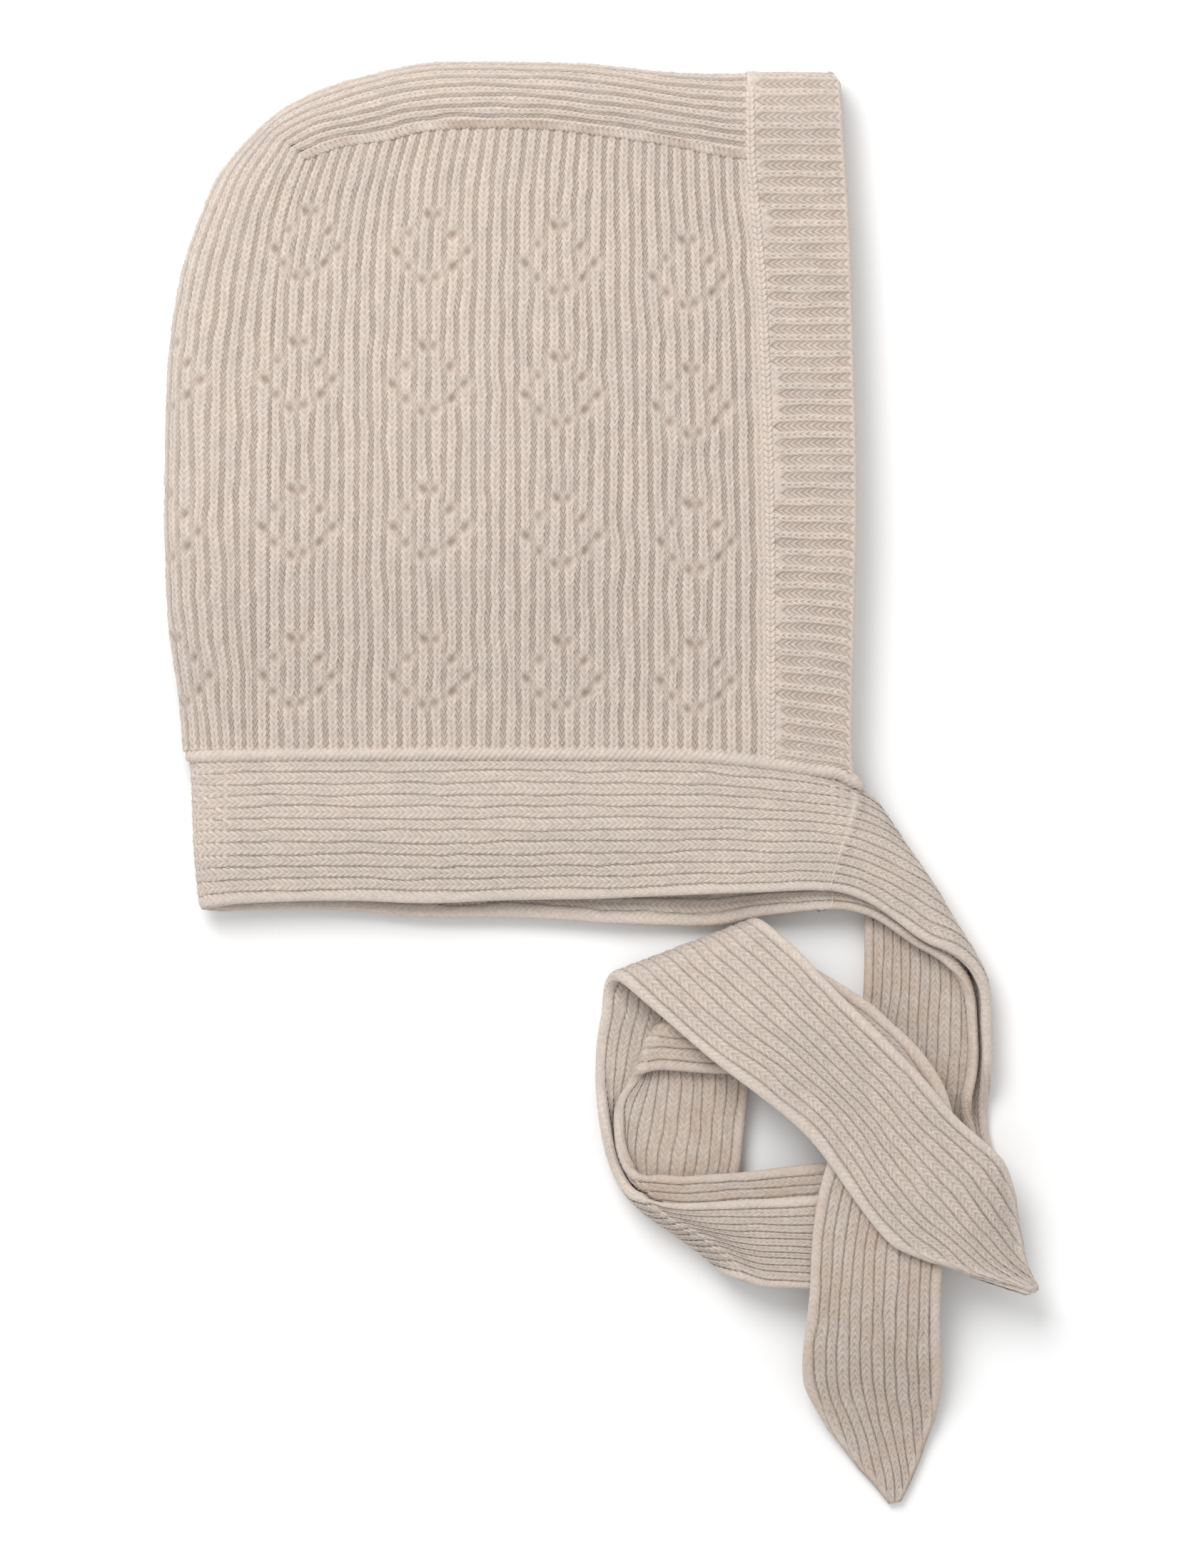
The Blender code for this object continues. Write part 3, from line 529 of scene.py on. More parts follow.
def fold_path(near, far, x_fold, count):
    """Plan and height of one rib round the neck: near front corner, nape fold, far front corner."""
    rise = (near[-1][2] - far[-1][2]) / 2
    mid = (near[-1][2] + far[-1][2]) / 2
    out = list(near)
    for k in range(1, count):
        fi = math.pi * k / count
        t = k / count
        x = near[-1][0] * (1 - t) + far[-1][0] * t - (near[-1][0] - x_fold) * math.sin(fi)
        y = near[-1][1] * (1 - t) + far[-1][1] * t
        out.append((x, y, mid + rise * math.cos(fi)))
    return out + list(far[::-1])


def neck_paths(across, columns, turn):
    """Rows of the neck band. across runs from 0 at the rolled edge to 1 at the hem."""
    roll, near_hem, far_hem = Line(ROLL_LINE), Line(NEAR_HEM), Line(FAR_HEM)
    near_end = [NEAR_TIE.place(NEAR_START - 3 * GAP, w * TIE_WIDTH / 2) for w in (1, -1)]
    far_end = [FAR_TIE.place(FAR_START - 3 * GAP, w * TIE_WIDTH / 2) for w in (1, -1)]
    x0 = at(NEAR_HEM[-1])[0]
    rows = []
    for k in across:
        sides = []
        for hem, ends, is_near in ((near_hem, near_end, True), (far_hem, far_end, False)):
            end = ends[0] * (1 - k) + ends[1] * k
            side = []
            for t in np.linspace(0, 1, columns):
                x = x0 + (at(NEAR_HEM[0])[0] - x0) * t
                top = roll.y_at(x) - ROLL + GAP
                y = top + (hem.y_at(x) - top) * k
                a = shares(x, y)[0]
                close = smooth((k - 0.45) / 0.55) * (1 - smooth((a - 0.66) / 0.24))
                if is_near:
                    z = loft(x, y) - NEAR_CLOSE * close
                else:
                    z = FLOOR + far_rise(a) + FAR_CLOSE * close
                side.append((x, y, z))
            side.append(tuple(end))
            sides.append(side[::-1])
        rows.append(fold_path(sides[0], sides[1], x0 - NAPE_TOP + (NAPE_TOP - NAPE_HEM) * k, turn))
    return np.array(rows)


def drift(u, v, seed, cell_u, cell_v):
    """Smooth random waver between -1 and 1 over a grid of cells."""
    rng = np.random.default_rng(seed)
    x, y = u / cell_u, v / cell_v
    x, y = x - x.min(), y - y.min()
    table = rng.uniform(-1, 1, (int(x.max()) + 3, int(y.max()) + 3))
    i, j = np.floor(x).astype(int), np.floor(y).astype(int)
    fx, fy = smooth(x - i), smooth(y - j)
    low = table[i, j] * (1 - fx) + table[i + 1, j] * fx
    high = table[i, j + 1] * (1 - fx) + table[i + 1, j + 1] * fx
    return low * (1 - fy) + high * fy


def rib_samples(share, fine):
    """Places across one rib, from one valley's middle to just before the next."""
    half = share / 2
    if not fine:
        return np.array([0.0] + [0.5 + half * t for t in (-1, 0, 1)])
    legs = [0.5 + half * t for t in (-1, -0.8, -0.5, 0, 0.5, 0.8, 1)]
    slope = [] if share > 0.5 else [0.25 - half / 2]
    return np.array([0.0] + slope + legs + [1 - t for t in slope])


def knit_axes(first, last, courses, share, fine_across, rows):
    """Rib and course numbers of a grid's points, and the course place each point is drawn at."""
    u = np.concatenate([k + rib_samples(share, fine_across(k)) for k in range(first, last)] + [[last]])
    v = np.concatenate([k + np.array(rows(k)) for k in range(courses)] + [[courses]])
    u, v = np.meshgrid(u, v)
    t = abs(u % 1 - 0.5) / (share / 2)
    slope = np.where(t < 1, t - 0.5, 0.5 - (t - 1) / (1 / share - 1))
    fade = np.clip(np.minimum(v, courses - v) / 1.5, 0, 1)
    return u, v, v + VEE * slope * fade


def relief(u, v, share, seed, plain):
    """Height of the stitches, 0 in the valleys and 1 on the legs. plain is 1 where no rib shows."""
    closed = share > CLOSED
    t = abs(u % 1 - 0.5) / (share / 2)
    crease = (0.5 + 0.5 * np.cos(2 * math.pi * v)) ** 2
    inner = np.sqrt(1 - np.clip((t - 0.5) / 0.7, -0.99, 0) ** 2)
    outer = np.sqrt(1 - np.clip((t - 0.5) / 0.5, 0, 1) ** 2)
    leg = np.where(t < 0.5, inner, outer)
    leg = leg * (1 - crease * np.where(t < 0.1, 0.7, 0.54 if closed else 0.36))
    purl = (0.2 if closed else 0.0) + 0.5 * (1 - crease) + 0.12 * drift(u, v, seed + 90, 1.0, 2.0)
    height = np.where(t < 1, np.maximum(leg, purl), purl)
    height = height * (1 + 0.22 * (2 * unevenness(u, v, seed) - 1))
    return height + plain * (0.84 - 0.16 * crease - height)


def unevenness(u, v, seed):
    """A number between 0 and 1 for each leg of each stitch."""
    leg = np.floor(v + 0.001) * 131 + np.floor(u * 2 + 0.001)
    mixed = np.sin(leg * 12.9898 + seed) * 43758.5453
    return mixed - np.floor(mixed)


def grid_normals(p):
    """Unit normals of a grid whose columns run right and whose rows run up."""
    n = np.cross(np.gradient(p, axis=1), np.gradient(p, axis=0))
    return n / np.maximum(np.linalg.norm(n, axis=-1, keepdims=True), 1e-9)


def every(count, step):
    """Every so many of a count of rows, with the last; or the rows themselves where they are given."""
    if isinstance(step, np.ndarray):
        return step
    return np.unique(np.append(np.arange(0, count, step), count - 1))


def link(name, data):
    """Object of that name in the scene."""
    thing = bpy.data.objects.new(name, data)
    bpy.context.scene.collection.objects.link(thing)
    return thing


def knit_mesh(name, points, faces, facts):
    """Smooth mesh that carries each point's rib, course and stitch height for the wool."""
    mesh = bpy.data.meshes.new(name)
    mesh.from_pydata(points.tolist(), [], faces)
    mesh.update()
    knit = mesh.attributes.new("knit", "FLOAT_VECTOR", "POINT")
    knit.data.foreach_set("vector", facts.reshape(-1, 3).astype(np.float32).ravel())
    mesh.shade_smooth()
    return link(name, mesh)


def slab(name, top, low, rows, cols, facts):
    """Closed sheet: a fine outer grid, an inner grid on some of its rows and columns, and a rim."""
    high, wide = top.shape[:2]
    index = np.arange(high * wide).reshape(high, wide)
    inner = high * wide + np.arange(len(rows) * len(cols)).reshape(len(rows), len(cols))
    quads = np.stack([index[:-1, :-1], index[:-1, 1:], index[1:, 1:], index[1:, :-1]], -1).reshape(-1, 4)
    back = np.stack([inner[:-1, :-1], inner[1:, :-1], inner[1:, 1:], inner[:-1, 1:]], -1).reshape(-1, 4)
    faces = quads.tolist() + back.tolist()
    for k in range(len(rows) - 1):
        a, b = rows[k], rows[k + 1]
        faces.append(list(index[a:b + 1, 0]) + [inner[k + 1, 0], inner[k, 0]])
        faces.append(list(index[a:b + 1, -1][::-1]) + [inner[k, -1], inner[k + 1, -1]])
    for k in range(len(cols) - 1):
        a, b = cols[k], cols[k + 1]
        faces.append(list(index[0, a:b + 1][::-1]) + [inner[0, k], inner[0, k + 1]])
        faces.append(list(index[-1, a:b + 1]) + [inner[-1, k + 1], inner[-1, k]])
    points = np.concatenate([top.reshape(-1, 3), low.reshape(-1, 3)]) * MM
    points[:, 2] = np.maximum(points[:, 2], TABLE)
    inner_facts = facts[np.ix_(rows, cols)].reshape(-1, 3)
    piece = knit_mesh(name, points, faces, np.concatenate([facts.reshape(-1, 3), inner_facts]))
    is_smooth = np.ones(len(faces), bool)
    is_smooth[len(quads) + len(back):] = False
    piece.data.polygons.foreach_set("use_smooth", is_smooth)
    return piece


def knit_sheet(name, base, grid, rib, wall, seed, plain=0.0, rim=1.0, pits=0.0, back=None, spread=None):
    """Sheet of ribbed knit on the middle surface that base gives for rib and course numbers.

    back thins out the inner face's rows and columns, which is then plain unless they are given one
    by one. spread is a surface without crowded edges, for the direction that stitches stand out.
    """
    share, depth = rib
    u, v, drawn = grid
    calm = np.clip(np.minimum(u - u.min(), u.max() - u), 0, 1)
    calm = calm * np.clip(np.minimum(v, v.max() - v) / 8, 0, 1)
    waver = 0.11 * drift(u, v, seed, 1.0, 6.0) + 0.07 * drift(u, v, seed + 50, 3.0, 2.5)
    middle = settle(base(u + waver * calm, drawn))
    normal = grid_normals(settle(spread(u, v)) if spread else middle)
    height = relief(u, v, share, seed, plain)
    skin = wall / 2 - depth * 0.55
    top = middle + normal * ((skin + depth * height) * rim - pits)[..., None]
    rows, cols = (every(u.shape[k], back[k] if back else 1) for k in (0, 1))
    knit_inside = back is None or isinstance(back[0], np.ndarray)
    under = relief(u + 0.5, v, share, seed + 1, plain) if knit_inside else 0.55
    thick = np.broadcast_to((skin + depth * under) * rim, u.shape)[..., None]
    low = (middle - normal * thick)[np.ix_(rows, cols)]
    return slab(name, top, low, rows, cols, np.stack([u, v, height - pits], -1))


def panel_plane(a, b):
    """Plan of the side panel: gusset and crown seam, front seam and rolled edge, blended across."""
    gusset, crown = Line(GUSSET), Line(CROWN)
    seam, neck, roll = Line(FRONT_SEAM), Line(NECK_LINE), Line(ROLL_LINE)

    def foot(t):
        p = neck(t)
        p[..., 1] = roll.y_at(p[..., 0]) + ROLL * 0.6
        return p

    low, high, left, right = foot(a), crown(a), gusset(b), seam(1 - b)
    corners = [foot(0.0), foot(1.0), crown(0.0), crown(1.0)]
    a, b = a[..., None], b[..., None]
    left = left + (corners[0] - gusset(0.0)) * (1 - b)
    right = right + (corners[1] - seam(1.0)) * (1 - b)
    return ((1 - b) * low + b * high + (1 - a) * left + a * right
            - (1 - a) * (1 - b) * corners[0] - a * (1 - b) * corners[1]
            - (1 - a) * b * corners[2] - a * b * corners[3])


def eyelet_pits(u, x, y, pitch):
    """Depth of the eyelets and the plain patches round them, for points of one knitted grid."""
    pit, plain = np.zeros(u.shape), np.zeros(u.shape)
    for number, (rib, share) in enumerate(MOTIFS):
        for k, (aside, up) in enumerate(EYELETS):
            for side in (-1, 1):
                chance = math.sin(number * 37.7 + k * 11.3 + side * 5.1)
                across = (u - rib - side * aside) * pitch - 0.25 * chance
                along = y - (at((0, share))[1] + up) - 0.3 * math.cos(chance * 40)
                if np.hypot(across, along).min() > 3:
                    continue
                leaning = across - side * (0.25 + 0.2 * chance) * along
                away = np.hypot(leaning, along * 0.85)
                pit = np.maximum(pit, EYELET_DEPTH * (0.85 + 0.15 * chance) * np.exp(-(away / EYELET) ** 2))
                wide = np.hypot(across * 0.8, along)
                plain = np.maximum(plain, 0.9 * np.exp(-(wide / 1.8) ** 4))
    return pit, plain


def side_near():
    """Side panel that faces up, with its motifs."""
    grid = knit_axes(0, PANEL_RIBS, PANEL_COURSES, PANEL_RIB[0], lambda k: True, lambda k: FINE_ROWS)
    u, _, drawn = grid

    def base(rib, course):
        p = panel_plane(rib / PANEL_RIBS, np.clip(course / PANEL_COURSES, 0, 1))
        return np.concatenate([p, loft(p[..., 0], p[..., 1])[..., None]], -1)

    place = base(u, drawn)
    pits, plain = eyelet_pits(u, place[..., 0], place[..., 1], PANEL_PITCH)
    plain = np.maximum(plain, 0.95 * smooth((u - PANEL_RIBS + 0.5) / 0.3))
    return knit_sheet("side_panel_near", base, grid, PANEL_RIB, WALL, 3, plain=plain, pits=pits, back=(6, 4))


def strip_base(rib, course, turn, courses):
    """Middle of the strip round nape and crown, from the far seam through the fold to the near seam."""
    outline, gusset, crown = Line(OUTLINE), Line(GUSSET), Line(CROWN)
    t = np.clip(course / courses, 0, 1)
    outer = outline(t)
    inner = np.where((t < turn)[..., None], gusset(np.clip(t / turn, 0, 1)),
                     crown(np.clip((t - turn) / (1 - turn), 0, 1)))
    width = np.linalg.norm(inner - outer, axis=-1)
    way = (inner - outer) / width[..., None]
    top = loft(inner[..., 0], inner[..., 1])
    mid = (top + WALL / 2) / 2
    across = rib / STRIP_RIBS
    arc = wrap(0 * across, FOLD_REACH, top - mid)[2]
    d, e, _ = wrap(abs(across) * (arc + width - WALL / 2 - FOLD_REACH), FOLD_REACH, top - mid)
    p = outer + way * (WALL / 2 + d + TUCK * smooth((across - 0.85) / 0.15))[..., None]
    p[..., 1] -= 1.0 * smooth(1 - course / 5)
    near = mid + (loft(p[..., 0], p[..., 1]) - mid) * e
    lifted = smooth((-across - 0.86) / 0.14) * smooth((t - turn) * 12)
    far = mid - (mid - WALL / 2) * e + FAR_SEAM_RISE * lifted
    return np.concatenate([p, np.where(across > 0, near, far)[..., None]], -1)


def strip():
    """Strip round nape and crown, between the two side panels."""
    outline = Line(OUTLINE)
    away = np.linalg.norm(outline.p - at(CORNER), axis=1)
    turn = outline.s[int(np.argmin(away))] / outline.length
    courses = int(outline.length / STITCH)
    grid = knit_axes(-STRIP_RIBS, STRIP_RIBS, courses, PANEL_RIB[0], lambda k: k > -4, lambda k: FINE_ROWS)
    u, _, drawn = grid

    def base(rib, course):
        return strip_base(rib, course, turn, courses)

    place = base(u, drawn)
    pits, plain = eyelet_pits(u - STRIP_RIBS, place[..., 0], place[..., 1], STRIP_PITCH)
    pits, plain = pits * (u > -2), plain * (u > -2)
    return knit_sheet("back_and_crown", base, grid, PANEL_RIB, WALL, 5, plain=plain, pits=pits, back=(6, 8))


def side_far():
    """Side panel that lies on the table."""
    grid = knit_axes(0, PANEL_RIBS, FAR_PANEL_COURSES, PANEL_RIB[0], lambda k: False, lambda k: PLAIN_ROWS)

    def base(rib, course):
        b = np.clip(course / FAR_PANEL_COURSES, 0, 1)
        p = panel_plane(1 - rib / PANEL_RIBS, b)
        z = WALL / 2 + FAR_SEAM_RISE * smooth((b - 0.89) / 0.11)
        return np.concatenate([p, z[..., None]], -1)

    return knit_sheet("side_panel_far", base, grid, PANEL_RIB, WALL, 7, back=(1, 1))


def front_place(rib, share):
    """Middle of the front band, share running from the seam to the face opening."""
    seam, edge, roll = Line(FRONT_SEAM), Line(FRONT_EDGE), Line(ROLL_LINE)
    low = at(FRONT_SEAM[-1])[1]
    high = at(OUTLINE[-1])[1] - BAND_WALL / 2 + 0.3
    top = loft(at(CROWN[-1])[0], at(CROWN[-1])[1])
    mid = (top + BAND_WALL / 2) / 2
    r = rib / FRONT_RIBS
    arc = wrap(0 * r, FOLD_REACH, 0 * r + top - mid)[2]
    d, e, _ = wrap(abs(r) * (arc + high - FOLD_REACH - low), FOLD_REACH, 0 * r + top - mid)
    y = high - d
    x0 = seam.x_at(np.minimum(y, at(FRONT_SEAM[0])[1])) - GAP
    x = x0 + (edge.x_at(y) + 0.15 - x0) * share
    x = x - 2.0 * share ** 6 * (1 - np.sqrt(1 - (1 - np.clip(d / 2.0, 0, 1)) ** 2))
    foot = roll.y_at(x) + ROLL * 0.8
    y = high - d * (1 + (low - foot) / (high - low) * smooth(abs(r) * 2 - 1))
    near = mid + (loft(x, y) - mid) * e
    far = mid - (mid - BAND_WALL / 2) * e
    return np.stack([x, y, np.where(r > 0, near, far)], -1)


def front_band():
    """Ribbed band round the face opening."""
    courses = FRONT_COURSES
    grid = knit_axes(-FRONT_RIBS, FRONT_RIBS, courses, FRONT_RIB[0], lambda k: k > -3, lambda k: FINE_ROWS)
    u, v, _ = grid

    def base(rib, course):
        return front_place(rib, np.clip(course / courses, 0, 1))

    start = 2.2 + 0.7 * drift(u, v * 0, 23, 1.0, 1.0)
    plain = np.maximum(0.95 * smooth((start - v) / 0.9), smooth((v - courses + 1.1) / 0.6))
    rim = rounded((courses - v) * STITCH, 1.3, 0.88)
    return knit_sheet("front_band_knit", base, grid, FRONT_RIB, BAND_WALL, 11, plain=plain, rim=rim,
                      back=(3, 2))


def squeeze(w, limit, reach):
    """Places across a strip, kept within its limit by crowding those that would lie past it."""
    reach = np.minimum(reach, limit)
    inside = limit - reach
    over = np.maximum(abs(w) - inside, 0)
    most = np.maximum(TIE_WIDTH / 2 - inside, 1e-6)
    crowded = inside + reach * (1 - np.exp(-over / reach)) / (1 - np.exp(-most / reach))
    return np.where(over > 0, np.sign(w) * crowded, w)


def join_moves(table, ribbon, start, backwards):
    """How far the neck band and a tie move where they meet, so that their ribs run on in one curve."""
    ways = np.arange(0, JOIN_REACH + 1.0)
    across = np.linspace(0, 1, table.shape[0])
    band = np.zeros((len(across), len(ways), 3))
    for k in range(len(across)):
        path = table[k][::-1] if backwards else table[k]
        band[k] = np.stack([np.interp(ways, lengths(path), path[:, i]) for i in range(3)], -1)
    begin = start - 3 * GAP
    tie_side = ribbon.place(begin + ways[None, :], ((0.5 - across) * TIE_WIDTH)[:, None])
    both = np.concatenate([band[:, ::-1], tie_side[:, 1:]], 1)
    count = both.shape[1]
    n = np.arange(count)
    soft = np.maximum(JOIN_SOFT * smooth(1.15 - abs(n - len(ways) + 1) / JOIN_REACH), 0.05)
    weight = np.exp(-((n[None] - n[:, None]) / soft[:, None]) ** 2 / 2)
    weight = weight / weight.sum(1, keepdims=True)
    moved = np.einsum("ij,kjc->kic", weight, both) - both
    fade = smooth(1.0 - (abs(n - len(ways) + 1) / JOIN_REACH) ** 3)
    moved = moved * fade[None, :, None]
    return moved[:, :len(ways)][:, ::-1], moved[:, len(ways) - 1:]


def look_up(table, k, n):
    """Value of a table between its rows and columns."""
    k, n = np.clip(k, 0, table.shape[0] - 1.001), np.clip(n, 0, table.shape[1] - 1.001)
    i, j = k.astype(int), n.astype(int)
    fi, fj = (k - i)[..., None], (n - j)[..., None]
    one = table[i, j] * (1 - fj) + table[i, j + 1] * fj
    two = table[i + 1, j] * (1 - fj) + table[i + 1, j + 1] * fj
    return one * (1 - fi) + two * fi


def neck_band():
    """Ribbed band along the neck, from the near front corner round the nape to the far one."""
    table, moves = NECK_TABLE, (NEAR_MOVES[0], FAR_MOVES[0])
    s = lengths(table[table.shape[0] // 2])
    courses = int(s[-1] / STITCH)
    fine = int(courses * 0.55)
    number = np.arange(len(s))
    run = np.concatenate([np.zeros((table.shape[0], 1)),
                          np.cumsum(np.linalg.norm(np.diff(table, axis=1), axis=-1), axis=1)], 1)[..., None]
    left = run[:, -1:] - run

    def base(rib, course):
        k = (1 - rib / BAND_RIBS) * (table.shape[0] - 1)
        n = np.interp(course / courses * s[-1], s, number)
        near, far = look_up(run, k, n)[..., 0], look_up(left, k, n)[..., 0]
        return look_up(table, k, n) + look_up(moves[0], k, near) + look_up(moves[1], k, far)

    grid = knit_axes(0, BAND_RIBS, courses, BAND_RIB[0], lambda k: True,
                     lambda k: FINE_ROWS if k < fine else PLAIN_ROWS)
    u = grid[0]
    plain = smooth((0.85 - u) / 0.25)
    rim = rounded(u * 2.4, 1.1, 0.8)
    turn = fine * 3
    rows = np.concatenate([np.arange(0, turn, 3), np.arange(turn, u.shape[0])])
    return knit_sheet("neck_band_knit", base, grid, BAND_RIB, TIE_WALL, 13, plain=plain, rim=rim,
                      back=(rows, np.arange(u.shape[1])))


def tie(name, ribbon, start, moves, seed, settled=None):
    """One tie, from just inside the neck band's end to its point."""
    first = start - 3 * GAP
    begin = first - OVERLAP
    courses = int((ribbon.end - begin) / TIE_STITCH)
    grid = knit_axes(0, BAND_RIBS, courses, BAND_RIB[0], lambda k: True, lambda k: PLAIN_ROWS)
    u, v, drawn = grid
    half = TIE_WIDTH / 2

    def narrowing(s):
        return value_at(TIP, s - ribbon.end)

    def laid(s, w, across):
        p = ribbon.place(s, across)
        p = p + look_up(moves[1], (0.5 - w / TIE_WIDTH) * (moves[1].shape[0] - 1), s - first)
        return settled(p) if settled else p

    def base(rib, course):
        s = begin + (ribbon.end - begin) * np.clip(course / courses, 0, 1)
        w = (0.5 - rib / BAND_RIBS) * TIE_WIDTH
        narrow = narrowing(s)
        return laid(s, w, squeeze(w, half * narrow, SELVEDGE) / narrow)

    def spread(rib, course):
        s = begin + (ribbon.end - begin) * course / courses
        w = (0.5 - rib / BAND_RIBS) * TIE_WIDTH
        return laid(s, w, w)

    w = (0.5 - u / BAND_RIBS) * TIE_WIDTH
    limit = half * narrowing(begin + (ribbon.end - begin) * drawn / courses)
    aside = limit - abs(w)
    plain = smooth((SELVEDGE * 1.15 - aside) / 0.7)
    rim = rounded(limit - abs(squeeze(w, limit, SELVEDGE)), 1.1, 0.85)
    rim = rim * rounded((courses - v) * STITCH, 1.1, 0.7)
    # The first row is thinner, so that it stays inside the neck band.
    rim = rim * (0.6 + 0.4 * smooth((v - 0.3) / 0.7))
    return knit_sheet(name, base, grid, BAND_RIB, TIE_WALL, seed, plain=plain, rim=rim, spread=spread)


class Tree:
    """A geometry or shader node tree that is filled node by node."""

    def __init__(self, tree):
        self.tree = tree

    def add(self, kind, inputs=(), **settings):
        node = self.tree.nodes.new(kind)
        for key, value in settings.items():
            setattr(node, key, value)
        for key, value in dict(inputs).items():
            socket = node.inputs[key]
            if isinstance(value, bpy.types.NodeSocket):
                self.tree.links.new(value, socket)
            else:
                socket.default_value = value
        return node

    def ramp(self, value, low, high, first=0.0, last=1.0):
        """Value stretched from one span to another."""
        node = self.add("ShaderNodeMapRange", {"Value": value, "From Min": low, "From Max": high,
                                               "To Min": first, "To Max": last})
        return node.outputs[0]

    def blend(self, share, one, two):
        """Colour between two."""
        return self.add("ShaderNodeMix", {"Factor": share, 6: one, 7: two}, data_type="RGBA").outputs[2]

    def scaled(self, vector, factor):
        """Vector made longer or shorter."""
        return self.add("ShaderNodeVectorMath", {0: vector, "Scale": factor}, operation="SCALE").outputs[0]


def chain_tree():
    """Geometry nodes: plump stitches along a curve, in two rows that lean towards each other."""
    tree = bpy.data.node_groups.new("stitch_chain", "GeometryNodeTree")
    face = tree.interface
    face.new_socket("Geometry", in_out="INPUT", socket_type="NodeSocketGeometry")
    for name in ("Spacing", "Length", "Width", "Lean", "Twist", "Apart"):
        face.new_socket(name, in_out="INPUT", socket_type="NodeSocketFloat")
    face.new_socket("Material", in_out="INPUT", socket_type="NodeSocketMaterial")
    face.new_socket("Geometry", in_out="OUTPUT", socket_type="NodeSocketGeometry")
    t = Tree(tree)
    given = t.add("NodeGroupInput").outputs
    curve = t.add("GeometryNodeResampleCurve", {"Curve": given["Geometry"], "Length": given["Spacing"]},
                  mode="LENGTH")
    ball = t.add("GeometryNodeMeshUVSphere", {"Segments": 8, "Rings": 6, "Radius": 0.5})
    tangent = t.add("GeometryNodeInputTangent").outputs[0]
    along = t.add("FunctionNodeAlignRotationToVector", {"Vector": tangent}, axis="X")
    aside = t.add("ShaderNodeVectorMath", {0: tangent, 1: (0, 0, 1)}, operation="CROSS_PRODUCT")
    size = t.add("ShaderNodeCombineXYZ", {0: given["Length"], 1: given["Width"], 2: given["Width"]})
    rows = []
    for side in (-1.0, 1.0):
        turn = t.add("ShaderNodeMath", {0: given["Lean"], 1: side, 2: given["Twist"]},
                     operation="MULTIPLY_ADD")
        flat = t.add("FunctionNodeAxisAngleToRotation", {"Axis": (0, 0, 1), "Angle": turn.outputs[0]})
        whole = t.add("FunctionNodeRotateRotation", {0: along.outputs[0], 1: flat.outputs[0]},
                      rotation_space="GLOBAL")
        off = t.add("ShaderNodeMath", {0: given["Apart"], 1: side * 0.5}, operation="MULTIPLY")
        move = t.scaled(aside.outputs[0], off.outputs[0])
        placed = t.add("GeometryNodeSetPosition", {"Geometry": curve.outputs[0], "Offset": move})
        one = t.add("GeometryNodeInstanceOnPoints",
                    {"Points": placed.outputs[0], "Instance": ball.outputs[0],
                     "Rotation": whole.outputs[0], "Scale": size.outputs[0]})
        rows.append(one.outputs[0])
    joined = t.add("GeometryNodeJoinGeometry")
    for row in rows[::-1]:
        tree.links.new(row, joined.inputs[0])
    real = t.add("GeometryNodeRealizeInstances", {0: joined.outputs[0]})
    # A stitch height of 0.8 gives the chains a little of the wool's painted valley shade.
    named = t.add("GeometryNodeStoreNamedAttribute", {"Geometry": real.outputs[0], "Name": "knit",
                                                      "Value": (0.0, 0.0, 0.8)}, data_type="FLOAT_VECTOR")
    soft = t.add("GeometryNodeSetShadeSmooth", {0: named.outputs[0]})
    dressed = t.add("GeometryNodeSetMaterial", {"Geometry": soft.outputs[0], "Material": given["Material"]})
    out = t.add("NodeGroupOutput")
    tree.links.new(dressed.outputs[0], out.inputs[0])
    return tree


def stitch_chain(name, path, sizes, mat):
    """Mesh of a row of plump stitches along a path."""
    spacing, length, width, lean, twist, apart = sizes
    curve = bpy.data.curves.new(name + "_line", "CURVE")
    curve.dimensions = "3D"
    line = curve.splines.new("POLY")
    line.points.add(len(path) - 1)
    line.points.foreach_set("co", np.column_stack([np.array(path) * MM, np.ones(len(path))]).ravel())
    drawn = link(name + "_line", curve)
    nodes = drawn.modifiers.new("stitches", "NODES")
    nodes.node_group = CHAIN
    values = {"Spacing": spacing * MM, "Length": length * MM, "Width": width * MM, "Lean": lean,
              "Twist": twist, "Apart": apart * MM, "Material": mat}
    for item in CHAIN.interface.items_tree:
        if item.item_type == "SOCKET" and item.in_out == "INPUT" and item.name in values:
            nodes[item.identifier] = values[item.name]
    depsgraph = bpy.context.evaluated_depsgraph_get()
    mesh = bpy.data.meshes.new_from_object(drawn.evaluated_get(depsgraph), depsgraph=depsgraph)
    drawn.modifiers.remove(nodes)
    bpy.data.objects.remove(drawn)
    return link(name, mesh)


def roll_path():
    """Middle of the rolled edge between shell and neck band, near front corner to far front corner."""
    line = Line(ROLL_LINE)
    near, far = [], []
    for t in np.linspace(0, 1, 48):
        p = line(t)
        a = shares(*p)[0]
        sunk = ROLL_SINK * smooth((a - 0.955) / 0.05)
        near.append((p[0], p[1], loft(p[0], p[1]) + ROLL_RISE - sunk))
        far.append((p[0], p[1], ROLL * 1.25 + far_rise(a)))
    return np.array(fold_path(near, far, near[-1][0] - NAPE_ROLL, 16))


